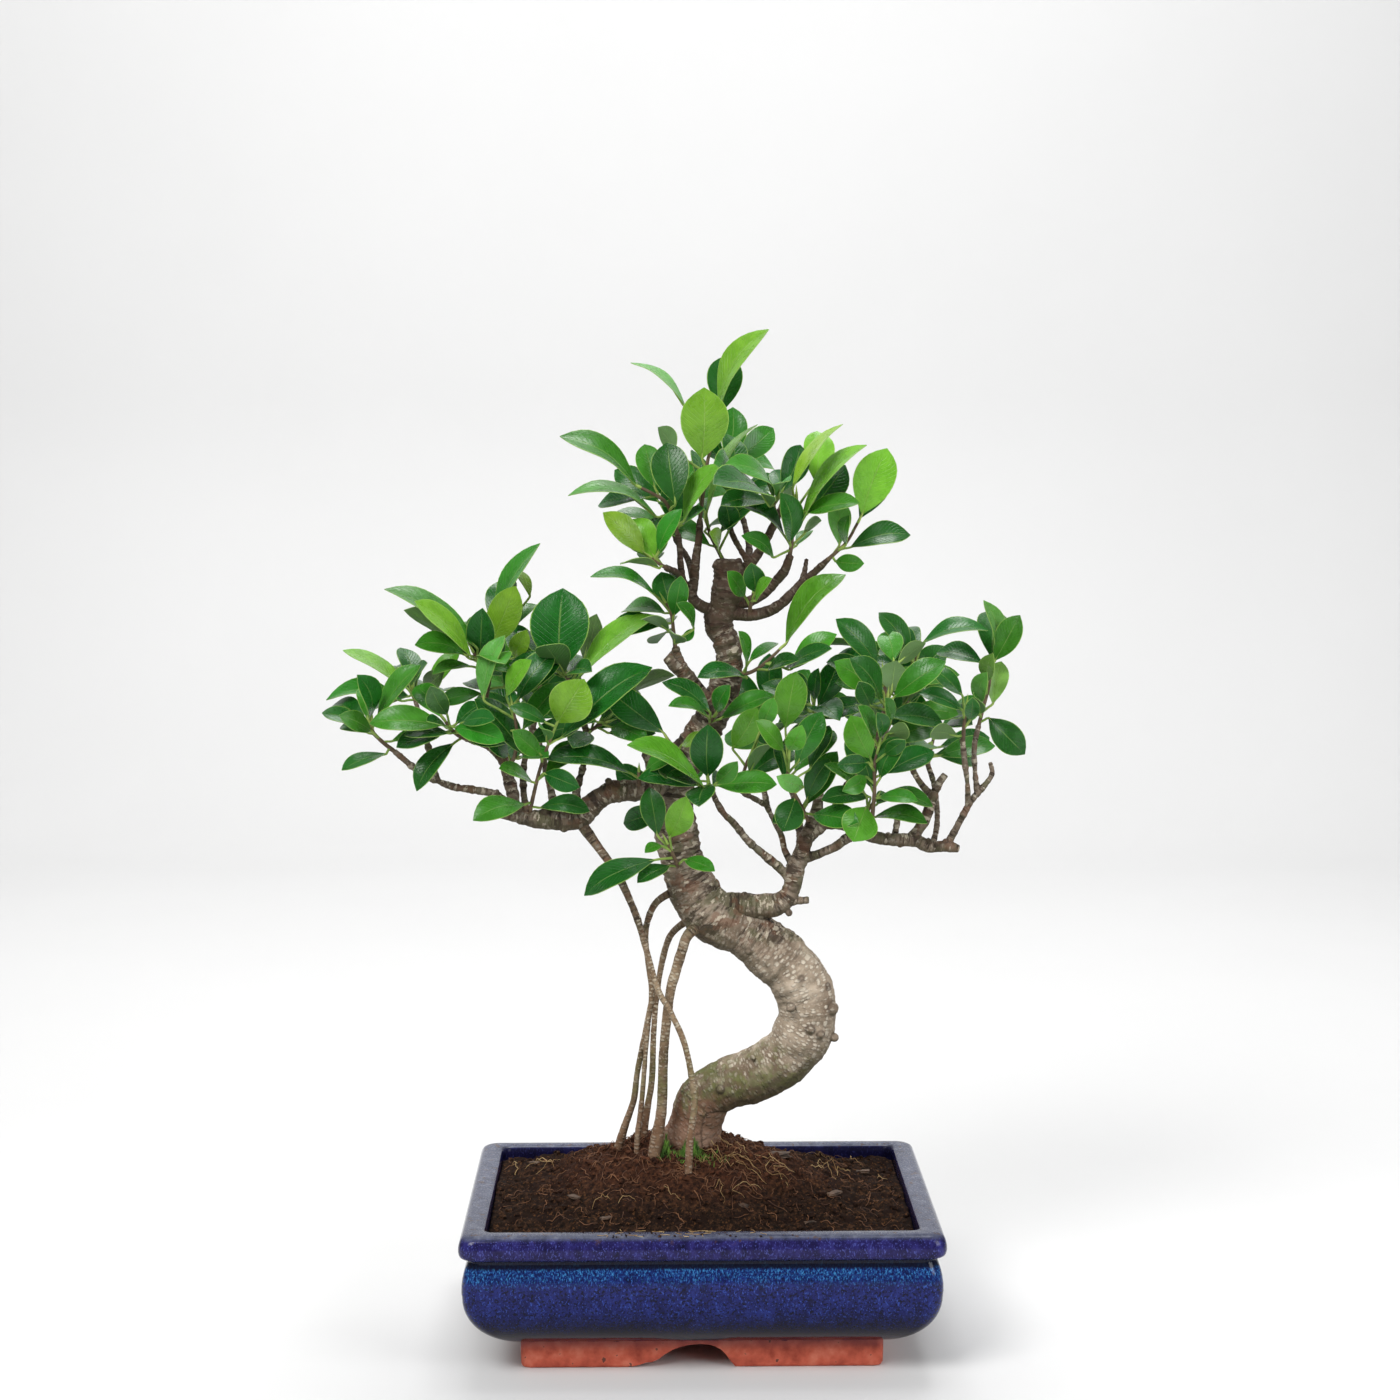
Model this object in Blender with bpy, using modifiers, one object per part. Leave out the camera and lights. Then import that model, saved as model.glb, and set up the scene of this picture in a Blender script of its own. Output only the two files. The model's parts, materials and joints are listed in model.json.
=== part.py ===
"""A Ficus bonsai with an S-shaped trunk, free aerial roots and leafy shoots, in a glazed pot.

Lengths in the tables are millimetres. The pot's middle is at x = 0, y = 0, it stands on z = 0, and
-Y is the front. A place on the tree is written (x, z, y): x and z are where it shows on the tree's
middle plane when the tree is looked at from SIGHT, and y is how far behind that plane it really is.
"""

import math

import bmesh
import bpy
from mathutils import Vector
from mathutils.bvhtree import BVHTree

MM = 0.001

# Pot
POT_WIDTH = 230.0
POT_DEPTH = 170.0
POT_HEIGHT = 71.0
RIM_HEIGHT = 12.0
RIM_WIDTH = 12.5
GROOVE = 2.8
CORNER = 6.0
FLOOR = 8.0
FOOT_HEIGHT = 13.0
FOOT_INSET_X = 28.0
FOOT_INSET_Y = 23.0
FOOT_WALL = 11.0
FOOT_HOLLOW = 9.0
CAVITY_ROUND = 18.0
CAVITY_INSET = 20.0
DRAIN_HOLE = 16.0
DRAIN_SPACING = 104.0

# Soil and drain screens
SOIL_BELOW_RIM = 7.0
MOUND_HEIGHT = 33.0
MOUND_PLACE = (-8.0, 8.0)
MOUND_SPREAD = (48.0, 38.0)
SCREEN_SIDE = 28.0
SCREEN_THICKNESS = 1.5
SCREEN_HOLE = 3.6

# Tree
GIRTH = 1.0
LEAF_BREADTH = 1.0
LEAF_THICKNESS = 0.6
LEAF_RATIO = 0.47
PETIOLE = 1.3
STEM_RADIUS = 1.2
ROOT_GIRTH = 1.0
BARE_STEM = 3.5
STALK_RUN = 5.0
CLEARANCE = 0.3
FACET_ALLOWANCE = 1.15
LEAF_ROOM = 1.3
DOUBLED = 1e-6

TABLE_POT_HEIGHT = 71.0
TREE_LIFT = POT_HEIGHT - TABLE_POT_HEIGHT
SIGHT = Vector((-21.0, -1245.0, 440.0))

# Wood: each branch is a run of (x, z, y, radius), from its root to its tip.
TRUNK = {
    "trunk": [
        (-7, 62, 7, 18), (-6, 78, 7, 17), (-4, 93, 6, 14.2), (2, 115, 4, 13), (15, 123.5, 2, 13),
        (29, 128, 0, 13.5), (43, 137, -2, 14), (52, 151, -2, 14.5), (53, 164, -2, 14.5),
        (47, 178, -2, 14.5), (36, 189, -1, 14), (24, 198.5, 0, 13), (6, 208, 0, 13.5),
        (-3, 220, 0, 12), (-9, 235, 0, 11), (-12, 252, 0, 10.5), (-13, 268, 0, 10),
        (-8, 285, 1, 9), (2, 300, 2, 8.5), (10, 315, 3, 8), (14, 330, 3, 7), (13, 343, 3, 6.5),
        (9, 353, 3, 7), (12, 362, 3, 7.5), (14, 375, 3, 7.6), (14, 384, 3, 6.2),
    ],
    "cut_stub": [(-12, 270, 0, 5), (-21, 277, -1, 4), (-24, 285, -1, 3.2), (-28, 290, -1, 1.6)],
    "buttress_left": [(0, 114, 4, 5), (-9, 103, 2, 5), (-17, 94, 0, 4.6), (-25, 80, -2, 4)],
    "buttress_right": [(4, 114, 4, 5), (10, 102, 8, 5), (16, 94, 12, 4.4), (22, 80, 16, 4)],
}
LIMB_LEFT = {
    "limb": [
        (-8, 268, 0, 6), (-20, 270, -1, 5.6), (-32, 270, -2, 5.2), (-42, 270, -3, 5.2),
        (-50, 266, -4, 5.2), (-60, 258, -5, 6.4), (-70, 256.7, -6, 6), (-80, 256, -7, 4.6),
        (-88, 257.5, -7, 3.6), (-95, 258.5, -7, 2.6), (-101.5, 259.3, -7, 2),
    ],
    "outer": [
        (-88, 258, -7, 2.6), (-95, 264, -8, 2.3), (-102, 269, -9, 2), (-112, 271, -10, 1.8),
        (-123, 273, -11, 1.7), (-138, 280, -12, 1.5), (-150, 290, -13, 1.4),
    ],
    "upper": [
        (-90, 258, -6, 3), (-92, 268, -2, 2.9), (-94, 276, 2, 2.8), (-97, 287, 5, 2.4),
        (-101, 300, 6, 2), (-105, 315, 4, 1.7), (-107, 330, 2, 1.5),
    ],
    "middle": [(-96, 284, 4, 1.6), (-104, 292, -4, 1.5), (-115, 296, -14, 1.4)],
    "riser": [(-129, 276, -12, 1.4), (-133, 290, -4, 1.4), (-137, 305, 4, 1.3), (-139, 314, 8, 1.3)],
    "inner": [
        (-60, 260, -4, 2.2), (-61, 269, 0, 1.9), (-59, 277, 3, 1.7), (-57, 285, 5, 1.6),
        (-56, 297, 6, 1.5), (-59, 312, 4, 1.4), (-62, 322, 0, 1.3),
    ],
    "dark": [(-85, 258, -4, 1.8), (-87, 272, 6, 1.6), (-86, 286, 12, 1.5), (-82, 302, 19, 1.4), (-80, 315, 24, 1.3)],
    "back": [(-72, 258, -3, 2.2), (-73, 268, 14, 1.9), (-76, 282, 29, 1.6), (-80, 298, 42, 1.4)],
}
LIMB_RIGHT = {
    "limb": [
        (0, 216, 0, 6.5), (12, 214, -3, 5.8), (22, 213, -4, 6.2), (30, 212.5, -5, 5.8),
        (38, 213.5, -5, 5.6), (43.5, 218, -5, 4.6), (46, 224, -5, 4.2), (47, 231, -5, 4.6),
        (50, 238, -5, 4.2), (52, 246, -4, 3.6), (56, 256, -2, 3), (58, 264, 0, 2.6),
        (58, 276, 4, 2.1), (56, 290, 6, 1.8), (56, 304, 6, 1.5),
    ],
    "stub": [(43, 215, -5, 2.2), (54, 215.5, -6, 1.8)],
    "left": [
        (45, 224, -5, 2.2), (40, 231, -6, 2.1), (33, 237, -8, 2), (24, 245, -10, 1.8),
        (17, 253.5, -12, 1.7), (12, 258.5, -14, 1.5), (8, 265, -16, 1.4), (6, 270, -18, 1.3),
    ],
    "up_left": [
        (47, 231, -4, 1.8), (42, 240, -1, 1.5), (40, 248, 1, 1.4), (36, 256, 3, 1.4),
        (33, 263, 4, 1.4), (31, 273, 8, 1.3), (28, 284, 13, 1.3),
    ],
    "side": [(33, 263, 4, 1.4), (27, 266, -4, 1.4), (21, 269.5, -10, 1.3), (20, 273, -14, 1.3)],
    "right": [
        (53, 246, -4, 2.6), (60, 252, -4, 2.4), (65, 258, -4, 2.2), (69, 266, -4, 2),
        (76, 278, -4, 1.8), (84, 290, -4, 1.6), (89, 302, -4, 1.5), (91, 310, -5, 1.4),
    ],
    "back": [(50, 240, -2, 2.2), (49, 252, 14, 1.9), (46, 268, 30, 1.6), (40, 286, 44, 1.4)],
    "back_right": [(66, 260, -2, 1.8), (74, 272, 16, 1.6), (84, 288, 32, 1.4), (92, 300, 42, 1.3)],
}
LIMB_FAR_RIGHT = {
    "limb": [
        (50, 236, -5, 2.6), (57, 238, -6, 2.2), (61, 239.7, -7, 2.1), (67, 242.3, -8, 2.2),
        (72, 246, -8, 2.4), (79, 248.5, -9, 2.6), (86, 247, -9, 3), (93, 245.7, -9, 3),
        (100, 245.5, -8, 3), (107, 245, -8, 3.2), (113, 242, -8, 3), (119, 242.3, -8, 2.7),
        (124, 242, -8, 2.6), (128, 241, -8, 1.8),
    ],
    "tie": [(62, 253.5, -5, 2.2), (71, 252.5, -8, 2.3), (79, 248.5, -9, 2.4)],
    "upper": [
        (104, 246, -8, 2.8), (109, 252, -7, 2.7), (112, 258, -6, 2.4), (115, 267, -5, 2.2),
        (117.5, 273, -5, 1.9), (121, 278, -5, 1.7),
    ],
    "fork": [(115, 267, -5, 1.7), (110, 272, -3, 1.5), (106, 278, -1, 1.4), (102, 286, 1, 1.4), (99.5, 291, 2, 1.3)],
    "twig": [(105, 279, -1, 1.1), (107, 285, -3, 1), (109, 290, -5, 0.9)],
    "dead": [(96, 246, -6, 1.6), (97.5, 256, -2, 1.4), (98, 263, 0, 1.2)],
    "far": [
        (122, 242.5, -8, 1.9), (126, 250, -7, 1.7), (130, 258, -6, 1.6), (134, 265, -5, 1.5),
        (139, 271, -4, 1.4), (144, 278, -3, 1.2), (143, 284, -2, 1),
    ],
    "far_up": [(137, 268, -4, 1.4), (135.5, 280, -2, 1.3), (135, 292, 0, 1.3), (137, 302, 4, 1.3)],
    "far_left": [(132, 261, -5, 1.4), (132, 272, -9, 1.3), (130.5, 284, -11, 1.3), (129, 296, -12, 1.3)],
    "back": [(115, 243, -6, 1.6), (117, 254, 10, 1.4), (116, 270, 26, 1.3), (112, 284, 38, 1.3)],
}
CROWN_LEFT = {
    "branch": [
        (12, 357, 3, 3.4), (6, 359, 1, 3), (0, 361.5, 0, 2.8), (-4, 366, -1, 2.6), (-3, 374, -1, 2.3),
        (-2, 385, -2, 2), (-0.5, 395, -2, 1.7), (0, 404, -2, 1.4),
    ],
    "side": [(-4, 367, -1, 1.9), (-8, 373, 0, 1.7), (-9.5, 382, 1, 1.5), (-10, 391, 2, 1.4), (-11, 397, 2, 1.3)],
    "low": [(-8, 374, 0, 1.4), (-12, 378, -8, 1.4), (-17, 380, -16, 1.3)],
    "back": [(-3, 374, -1, 1.8), (-6, 384, 14, 1.5), (-12, 394, 28, 1.3)],
}
CROWN_RIGHT = {
    "branch": [
        (14, 358, 3, 3.2), (22, 357, 1, 3), (28, 357.3, 0, 2.9), (35, 359.5, -1, 2.7),
        (41, 363.5, -2, 2.4), (46, 368.5, -2, 2.2), (50.5, 373.5, -2, 2), (55, 377, -3, 1.7),
        (60, 381.5, -4, 1.5), (63, 384.5, -5, 1.3),
    ],
    "stub": [(50, 373, -2, 1.6), (51.2, 379, 0, 1.3), (52, 384, 3, 1)],
}
CROWN_MIDDLE = {
    "branch": [
        (14, 363, 3, 3), (22, 363, 4, 2.7), (29, 366, 5, 2.5), (33, 369, 4, 2.4), (37, 373.5, 2, 2.3),
        (41, 378, -1, 2.2), (44, 386, -4, 1.8),
    ],
}
CROWN_TOP = {
    "branch": [
        (14, 377, 3, 3.2), (20, 379, 5, 2.8), (25, 382.5, 7, 2.5), (29, 388, 8, 2.2),
        (32.5, 394, 9, 2), (36, 401, 9, 1.8), (39, 408, 9, 1.5), (41, 414, 9, 1.3),
    ],
    "left": [(24, 382, 6, 1.6), (19, 390, 9, 1.4), (15, 399, 12, 1.3), (16, 409, 14, 1.3)],
    "back": [(22, 380, 6, 1.8), (24, 388, 20, 1.6), (22, 400, 34, 1.4), (18, 412, 44, 1.3)],
}
DEAD_STUB = {
    "stub": [(8, 308, -1, 4), (0, 318, -3, 3.9), (-7, 327, -4, 3.8), (-13, 334, -5, 3.5), (-16, 337, -5, 3.2)],
    "side": [(-8, 329, -4, 2.6), (-11, 337, -6, 2.2), (-12, 341, -7, 1.8)],
}
WOOD = {
    "trunk": TRUNK,
    "limb_left": LIMB_LEFT,
    "limb_right": LIMB_RIGHT,
    "limb_far_right": LIMB_FAR_RIGHT,
    "crown_branch_left": CROWN_LEFT,
    "crown_branch_right": CROWN_RIGHT,
    "crown_branch_middle": CROWN_MIDDLE,
    "crown_branch_top": CROWN_TOP,
    "dead_stub": DEAD_STUB,
}

# Aerial roots, as runs of (x, z, y, radius) from the wood down into the soil.
ROOTS = {
    "aerial_root_limb": {
        "root": [
            (-58, 253, -6, 2.6), (-50, 242, -8, 2.2), (-41, 229, -11, 1.9), (-34, 214, -14, 1.7),
            (-30, 203, -16, 1.6), (-27, 192, -17, 1.5), (-21, 171, -18, 1.4), (-15, 160, -19, 1.4),
            (-8, 144, -21, 1.4), (-4, 125, -23, 1.5), (-3, 110, -24, 1.6), (-5, 95, -25, 1.8),
            (-6, 76, -26, 1.8),
        ],
    },
    "aerial_root_outer": {
        "root": [
            (-7, 222, 0, 2.4), (-15, 219, -3, 2), (-22, 214, -4, 1.7), (-26, 205, -4, 1.5),
            (-27, 195, -4, 1.4), (-24, 170, -5, 1.4), (-26, 155, -4, 1.4), (-31, 130, -2, 1.4),
            (-33, 115, 0, 1.5), (-37, 103, 2, 1.8), (-41, 90, 4, 2.1), (-44, 76, 5, 2.1),
        ],
        "fork": [(-25, 160, -4.5, 1.1), (-27, 140, -6, 1.1), (-29, 115, -6, 1.2), (-31, 98, -5, 1.4), (-32, 80, -5, 1.4)],
    },
    "aerial_root_back": {
        "root": [
            (0, 209, 4, 2.2), (-12, 201, 12, 1.7), (-17, 192, 13, 1.5), (-21, 172, 13, 1.4),
            (-23, 150, 12, 1.4), (-24, 125, 11, 1.5), (-27, 106, 10, 1.7), (-29, 84, 9, 1.8),
        ],
    },
    "aerial_root_thick": {
        "root": [
            (2, 205, -6, 2.8), (-6, 198, -11, 2.6), (-9, 190, -12, 2.5), (-12, 180, -12, 2.4),
            (-15, 168, -12, 2.3), (-18, 140, -12, 2.3), (-19, 112, -11, 2.5), (-21, 98, -11, 3),
            (-24, 80, -10, 3.4),
        ],
    },
}

# Shoots: the stem's run of (x, z, y), then its leaves. A leaf is (x and z of the blade's base, x and z
# of its tip, breadth shown, how much further back the tip is, how far it arches as a share of its
# length, tone). A breadth under 0 shows the leaf's underside.
SHOOTS = {
    "shoot_apex": (
        [(-0.5, 400, -2), (1, 412, -5), (3, 428, -8), (6, 442, -9), (9, 454, -9)],
        [
            (9, 457, 32, 496, 10, -6, 0.12, "young"), (11, 456, 13, 483, 18, 8, 0.05, "dark"),
            (1, 433, 2, 467, 24, -8, 0.05, "young"), (-7, 458, -33, 480, 4, 6, 0.1, "pale"),
            (0, 414, -3, 438, 9, 14, 0.06, "dark"), (-12, 436, -20, 448, -10, 18, 0.05, "olive"),
        ],
    ),
    "shoot_crown_left_top": (
        [(-11, 396, 2), (-13, 404, -6), (-17, 412, -12), (-23, 416, -16), (-29, 419, -18)],
        [
            (-22, 419, -27, 440, 13, 10, 0.06, "leaf"), (-12, 411, -16, 441, 19, 10, 0.05, "dark"),
            (-31, 420, -68, 444, 10, -4, 0.12, "leaf"), (-21, 405, -64, 416, 5, -8, 0.16, "leaf"),
            (-13, 397, -43, 406, 4, -4, 0.1, "leaf"), (-8, 403, 9, 431, 9, 4, 0.08, "young"),
            (-16, 404, -26, 400, 4, 10, 0.08, "dark"), (-9, 401, 2, 409, 5, -12, 0.08, "leaf"),
        ],
    ),
    "shoot_crown_left_low": (
        [(-16, 379.7, -15), (-20, 382, -20), (-24, 385, -24)],
        [
            (-27, 387, -47, 407, 12, -6, 0.06, "young"), (-22, 385, -33, 404, 17, 6, 0.05, "young"),
            (-20, 380, -39, 382, -5, -16, 0.08, "olive"), (-21, 385, -19, 397, 9, 14, 0.06, "leaf"),
        ],
    ),
    "shoot_crown_mid": (
        [(13, 380, 4), (9, 388, 10), (5, 396, 13), (3, 404, 15)],
        [
            (3, 407, 25, 451, 4, -5, 0.06, "young"), (2, 404, 5, 416, 8, 20, 0.06, "dark"),
            (9, 389, 6, 397, 8, -20, 0.06, "young"), (14, 398, 12, 412, 11, -14, 0.05, "dark"),
            (2, 398, 14, 403, -4, 14, 0.08, "olive"),
        ],
    ),
    "shoot_crown_top_left": (
        [(16, 407, 13.6), (17, 414, 15), (17, 420, 15)],
        [
            (18, 421, 22, 435, 7, 12, 0.06, "pale"), (16, 421, 9, 432, 6, -10, 0.08, "leaf"),
            (17, 422, 14, 446, 13, 18, 0.06, "dark"),
        ],
    ),
    "shoot_crown_arch": (
        [(38, 405.5, 9), (36.5, 408, 2), (36, 410.5, -5), (37, 414, -9)],
        [
            (36, 414, 13, 431, 8, -8, 0.16, "leaf"), (34, 410, 7, 422, 9, -18, 0.12, "dark"),
            (40, 416, 36, 428, 9, 14, 0.06, "dark"), (40, 417, 49, 440, 14, 10, 0.05, "dark"),
        ],
    ),
    "shoot_crown_right_top": (
        [(43.6, 385, -3.7), (44.6, 391, -5), (45, 396, -6), (46, 401, -9), (47, 408, -11), (47, 414, -12)],
        [
            (49, 402, 79, 441, 6, -12, 0.05, "young"), (53, 407, 71, 430, 16, -2, 0.06, "dark"),
            (56, 422, 57, 447, 16, 16, 0.05, "young"), (45, 419, 69, 450, 5, 4, 0.08, "young"),
            (46, 408, 45, 422, -9, 22, 0.05, "olive"), (41, 396, 17, 412, 8, -10, 0.15, "dark"),
            (36, 385, 21, 396, 8, -10, 0.12, "leaf"), (50, 396, 59, 403, -7, 16, 0.06, "olive"),
            (47, 391, 54, 399, 6, 12, 0.06, "leaf"),
        ],
    ),
    "shoot_crown_right_low": (
        [(62, 383.5, -4.7), (67, 388, -8), (72, 393, -10), (77, 402, -12)],
        [
            (79, 406, 91, 438, 21, -4, 0.05, "young"), (68, 391, 67, 413, 12, 10, 0.06, "pale"),
            (71, 391, 72, 405, 6, -12, 0.08, "leaf"), (66, 383, 80, 382, 9, -12, 0.1, "leaf"),
        ],
    ),
    "shoot_crown_inner": (
        [(24, 357.5, 0.5), (25, 363, -6), (26, 368, -9)],
        [
            (27, 368, 25, 382, 11, -12, 0.06, "dark"), (27, 364, 34, 375, 5, -14, 0.08, "young"),
            (22, 366, 14, 378, 9, -14, 0.06, "leaf"),
        ],
    ),
    "shoot_neck_left": (
        [(-12, 339, -6.6), (-13, 349, -9), (-14, 357, -10), (-17, 363, -11)],
        [
            (-14, 359, -19, 378, 13, 8, 0.06, "dark"), (-21, 366, -53, 377, 5, -8, 0.15, "leaf"),
            (-12, 368, -16, 382, 5, 12, 0.08, "dark"), (-3, 350, -11, 363, 6, -12, 0.1, "leaf"),
            (-15, 349, -29, 356, -7, -14, 0.08, "olive"), (-9, 344, -3, 350, 5, -10, 0.1, "leaf"),
        ],
    ),
    "shoot_left_top": (
        [(-107, 328, 2.2), (-109, 335, -4), (-111, 339, -8)],
        [
            (-109, 341, -153, 371, 8, -6, 0.06, "leaf"), (-112, 337, -139, 364, 8, -16, 0.08, "young"),
            (-113, 336, -144, 360, -11, 8, 0.06, "olive"), (-112, 332, -131, 329, 5, -8, 0.08, "leaf"),
        ],
    ),
    "shoot_left_tall": (
        [(-105, 315, 4), (-103, 326, 11), (-102, 338, 13), (-101, 350, 13)],
        [
            (-100, 353, -78, 392, 9, 2, 0.08, "leaf"), (-103, 341, -90, 371, 17, -8, 0.05, "young"),
            (-96, 322, -90, 339, 12, 18, 0.06, "dark"), (-91, 336, -85, 349, 10, -14, 0.06, "young"),
            (-90, 352, -80, 363, 7, 12, 0.08, "pale"), (-83, 366, -91, 380, 5, 10, 0.1, "young"),
        ],
    ),
    "shoot_left_far": (
        [(-138.5, 312, 7), (-140, 316, 9), (-141, 321, 9)],
        [
            (-143, 321, -174, 341, 5, 6, 0.06, "young"), (-146, 315, -183, 317, 7, -4, 0.14, "leaf"),
            (-134, 319, -126, 329, 10, -16, 0.06, "olive"), (-133, 321, -118, 339, 9, -8, 0.06, "young"),
            (-140, 322, -146, 342, 11, 18, 0.06, "dark"),
        ],
    ),
    "shoot_left_end": (
        [(-149.4, 289.5, -13), (-155, 294, -14), (-160, 299, -15), (-161, 303, -17), (-161, 306, -19)],
        [
            (-158, 308, -138, 333, 10, -6, 0.06, "leaf"), (-161, 300, -176, 308, 9, -14, 0.06, "leaf"),
            (-154, 289, -176, 281, 6, -12, 0.08, "dark"), (-163, 306, -166, 322, 8, 12, 0.08, "leaf"),
        ],
    ),
    "shoot_left_mid": (
        [(-114.2, 295.7, -13.3), (-119, 298, -20), (-123, 302, -25), (-125, 305, -27)],
        [
            (-126, 303, -162, 305, 12, -4, 0.08, "leaf"), (-123, 299, -145, 298, 6, -14, 0.08, "dark"),
            (-121, 294, -140, 271, 11, -8, 0.06, "dark"), (-117, 304, -101, 306, 8, -14, 0.06, "dark"),
            (-124, 308, -132, 322, 11, -12, 0.05, "olive"),
        ],
    ),
    "shoot_left_core": (
        [(-95, 281, 3.5), (-91, 288, -10), (-90, 300, -18), (-92, 312, -21)],
        [
            (-86, 288, -110, 316, 12, -10, 0.06, "dark"), (-94, 288, -105, 296, 9, -18, 0.06, "dark"),
            (-95, 317, -83, 335, 9, -12, 0.08, "young"), (-106, 315, -96, 347, 10, 2, 0.08, "pale"),
        ],
    ),
    "shoot_left_green": (
        [(-84, 259, -7.5), (-82, 268, -13), (-79, 280, -19), (-75, 292, -23), (-71, 302, -26)],
        [
            (-70, 304, -57, 325, 22, -8, 0.1, "young"), (-68, 297, -25, 333, 17, 2, 0.06, "dark"),
            (-77, 279, -60, 272, 11, -12, 0.06, "dark"), (-78, 288, -92, 300, 10, -14, 0.06, "leaf"),
        ],
    ),
    "shoot_left_big": (
        [(-61.8, 320.5, 0.7), (-65, 326, -5), (-67, 331, -8)],
        [
            (-69, 329, -67, 370, 30, 2, 0.05, "dark"), (-60, 326, -22, 358, 10, -8, 0.05, "young"),
            (-57, 335, -51, 357, -12, 14, 0.06, "olive"), (-76, 333, -88, 350, 11, 16, 0.06, "dark"),
        ],
    ),
    "shoot_left_inner": (
        [(-56, 298, 6), (-51, 302, 3), (-46, 304, 1)],
        [
            (-45, 299, -22, 299, 9, -8, 0.06, "dark"), (-52, 305, -58, 317, -9, 14, 0.06, "olive"),
            (-40, 315, -13, 328, -8, 10, 0.06, "olive"), (-44, 307, -30, 321, 12, 18, 0.06, "dark"),
            (-58, 303, -68, 308, -7, 8, 0.08, "olive"),
        ],
    ),
    "shoot_limb_left": (
        [(-30, 270, -2), (-30, 277, -10), (-30, 280, -13)],
        [(-34, 279, -76, 286, 9, -4, 0.12, "dark"), (-27, 280, -12, 288, 8, -12, 0.08, "leaf")],
    ),
    "shoot_low": (
        [(-10, 230, -5), (-12, 235, -15), (-14, 240, -19), (-16, 244, -21)],
        [
            (-22, 236, -58, 220, 10, -6, 0.1, "dark"), (-15, 233, -31, 225, 7, -14, 0.08, "dark"),
            (-15, 247, -7, 267, 14, -10, 0.08, "young"), (-21, 248, -25, 272, 13, 2, 0.08, "dark"),
            (-8, 236, 7, 231, 7, -12, 0.08, "leaf"), (-19, 243, -27, 240, 5, -10, 0.1, "leaf"),
        ],
    ),
    "shoot_centre_left": (
        [(6.5, 268.5, -17.5), (5, 272, -20), (4, 275, -22)],
        [
            (2, 272, -35, 294, 8, -8, 0.08, "young"), (4, 277, 4, 303, 17, -8, 0.1, "dark"),
            (8, 274, 18, 284, 9, -12, 0.06, "leaf"),
        ],
    ),
    "shoot_centre_top": (
        [(3, 300, -1), (5, 304, -11), (7, 307, -15)],
        [
            (10, 306, 36, 318, 8, -6, 0.08, "leaf"), (5, 309, -18, 325, 9, 4, 0.1, "dark"),
            (4, 307, -15, 313, 5, -12, 0.1, "leaf"), (8, 309, 14, 322, 9, -14, 0.06, "leaf"),
        ],
    ),
    "shoot_trunk_left": (
        [(-8, 286, -2), (-13, 292, -11), (-16, 296, -14)],
        [
            (-18, 299, -46, 321, 16, 4, 0.08, "dark"), (-9, 293, 3, 296, 7, -14, 0.08, "young"),
            (-12, 287, -18, 276, -9, -12, 0.08, "olive"),
        ],
    ),
    "shoot_centre_mid": (
        [(20.2, 272.4, -13.3), (21, 277, -18), (23, 284, -21), (26, 290, -23)],
        [
            (16, 291, 28, 311, 14, -6, 0.06, "young"), (24, 279, 34, 294, -8, -14, 0.06, "olive"),
            (27, 293, 27, 308, 8, 14, 0.06, "dark"), (30, 301, 36, 316, 9, -8, 0.06, "young"),
        ],
    ),
    "shoot_centre_right": (
        [(54, 254, -3), (49, 264, -15), (44, 274, -23), (43, 284, -28)],
        [
            (42, 301, 47, 329, 16, 0, 0.08, "young"), (41, 290, 28, 305, 9, -10, 0.08, "young"),
            (44, 290, 50, 302, 10, -14, 0.1, "young"), (48, 284, 60, 309, 14, -2, 0.06, "leaf"),
            (54, 281, 63, 303, 9, 12, 0.06, "dark"), (41, 277, 38, 293, 8, 12, 0.06, "dark"),
            (51, 272, 38, 277, 9, -12, 0.12, "pale"), (47, 266.5, 41, 250, 15, -10, 0.08, "dark"),
        ],
    ),
    "shoot_centre_high": (
        [(14, 329, 0), (22, 328, -9), (29, 331, -12), (36, 337, -14), (39, 340, -14)],
        [
            (42, 343, 69.5, 378, 11, 2, 0.12, "young"), (44, 330, 66, 348, 10, -8, 0.08, "young"),
            (42, 331, 64, 341, 7, -16, 0.08, "dark"), (33, 330, 48, 335, 7, -16, 0.08, "dark"),
            (24, 334, 38, 344, 5, 10, 0.08, "leaf"), (23, 333, 19, 349, 6, -10, 0.08, "leaf"),
            (23, 326, -1, 327, 7, -14, 0.12, "dark"),
        ],
    ),
    "shoot_centre_deep": (
        [(56, 303, 6), (56.5, 309, 8.5), (55.5, 314, 10)],
        [
            (58, 312, 68, 334, 14, 8, 0.06, "dark"), (54, 313, 44, 328, 12, 14, 0.06, "dark"),
            (59, 308, 74, 316, 10, 14, 0.06, "leaf"),
        ],
    ),
    "shoot_right_top": (
        [(90.5, 308, -4.8), (91, 318, -8), (90, 328, -9)],
        [
            (87, 332, 67, 355, 13, -6, 0.08, "dark"), (95, 334, 91, 349, 13, 14, 0.06, "leaf"),
            (97, 333, 110, 343, -9, 12, 0.06, "olive"), (79, 341, 61, 343, -5, 14, 0.08, "olive"),
            (81, 333, 68, 339, 7, 12, 0.08, "dark"),
        ],
    ),
    "shoot_right_front": (
        [(84, 290, -4), (88, 300, -17), (91, 310, -24), (92, 316, -26)],
        [
            (90, 319, 66, 334, 14, -6, 0.08, "young"), (94, 319, 96, 334, -15, 12, 0.06, "olive"),
            (86, 304, 78, 313, -8, -16, 0.06, "olive"), (94, 304, 91, 316, 7, -12, 0.06, "leaf"),
            (84, 312, 78, 324, 10, -14, 0.05, "dark"),
        ],
    ),
    "shoot_right_out": (
        [(99.8, 290, 2), (101, 302, 6), (102, 315, 8), (105, 330, 8), (107, 339, 8)],
        [
            (109, 343, 141, 350, 7, -4, 0.15, "dark"), (104, 323, 127, 328, 9, -8, 0.08, "leaf"),
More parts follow.
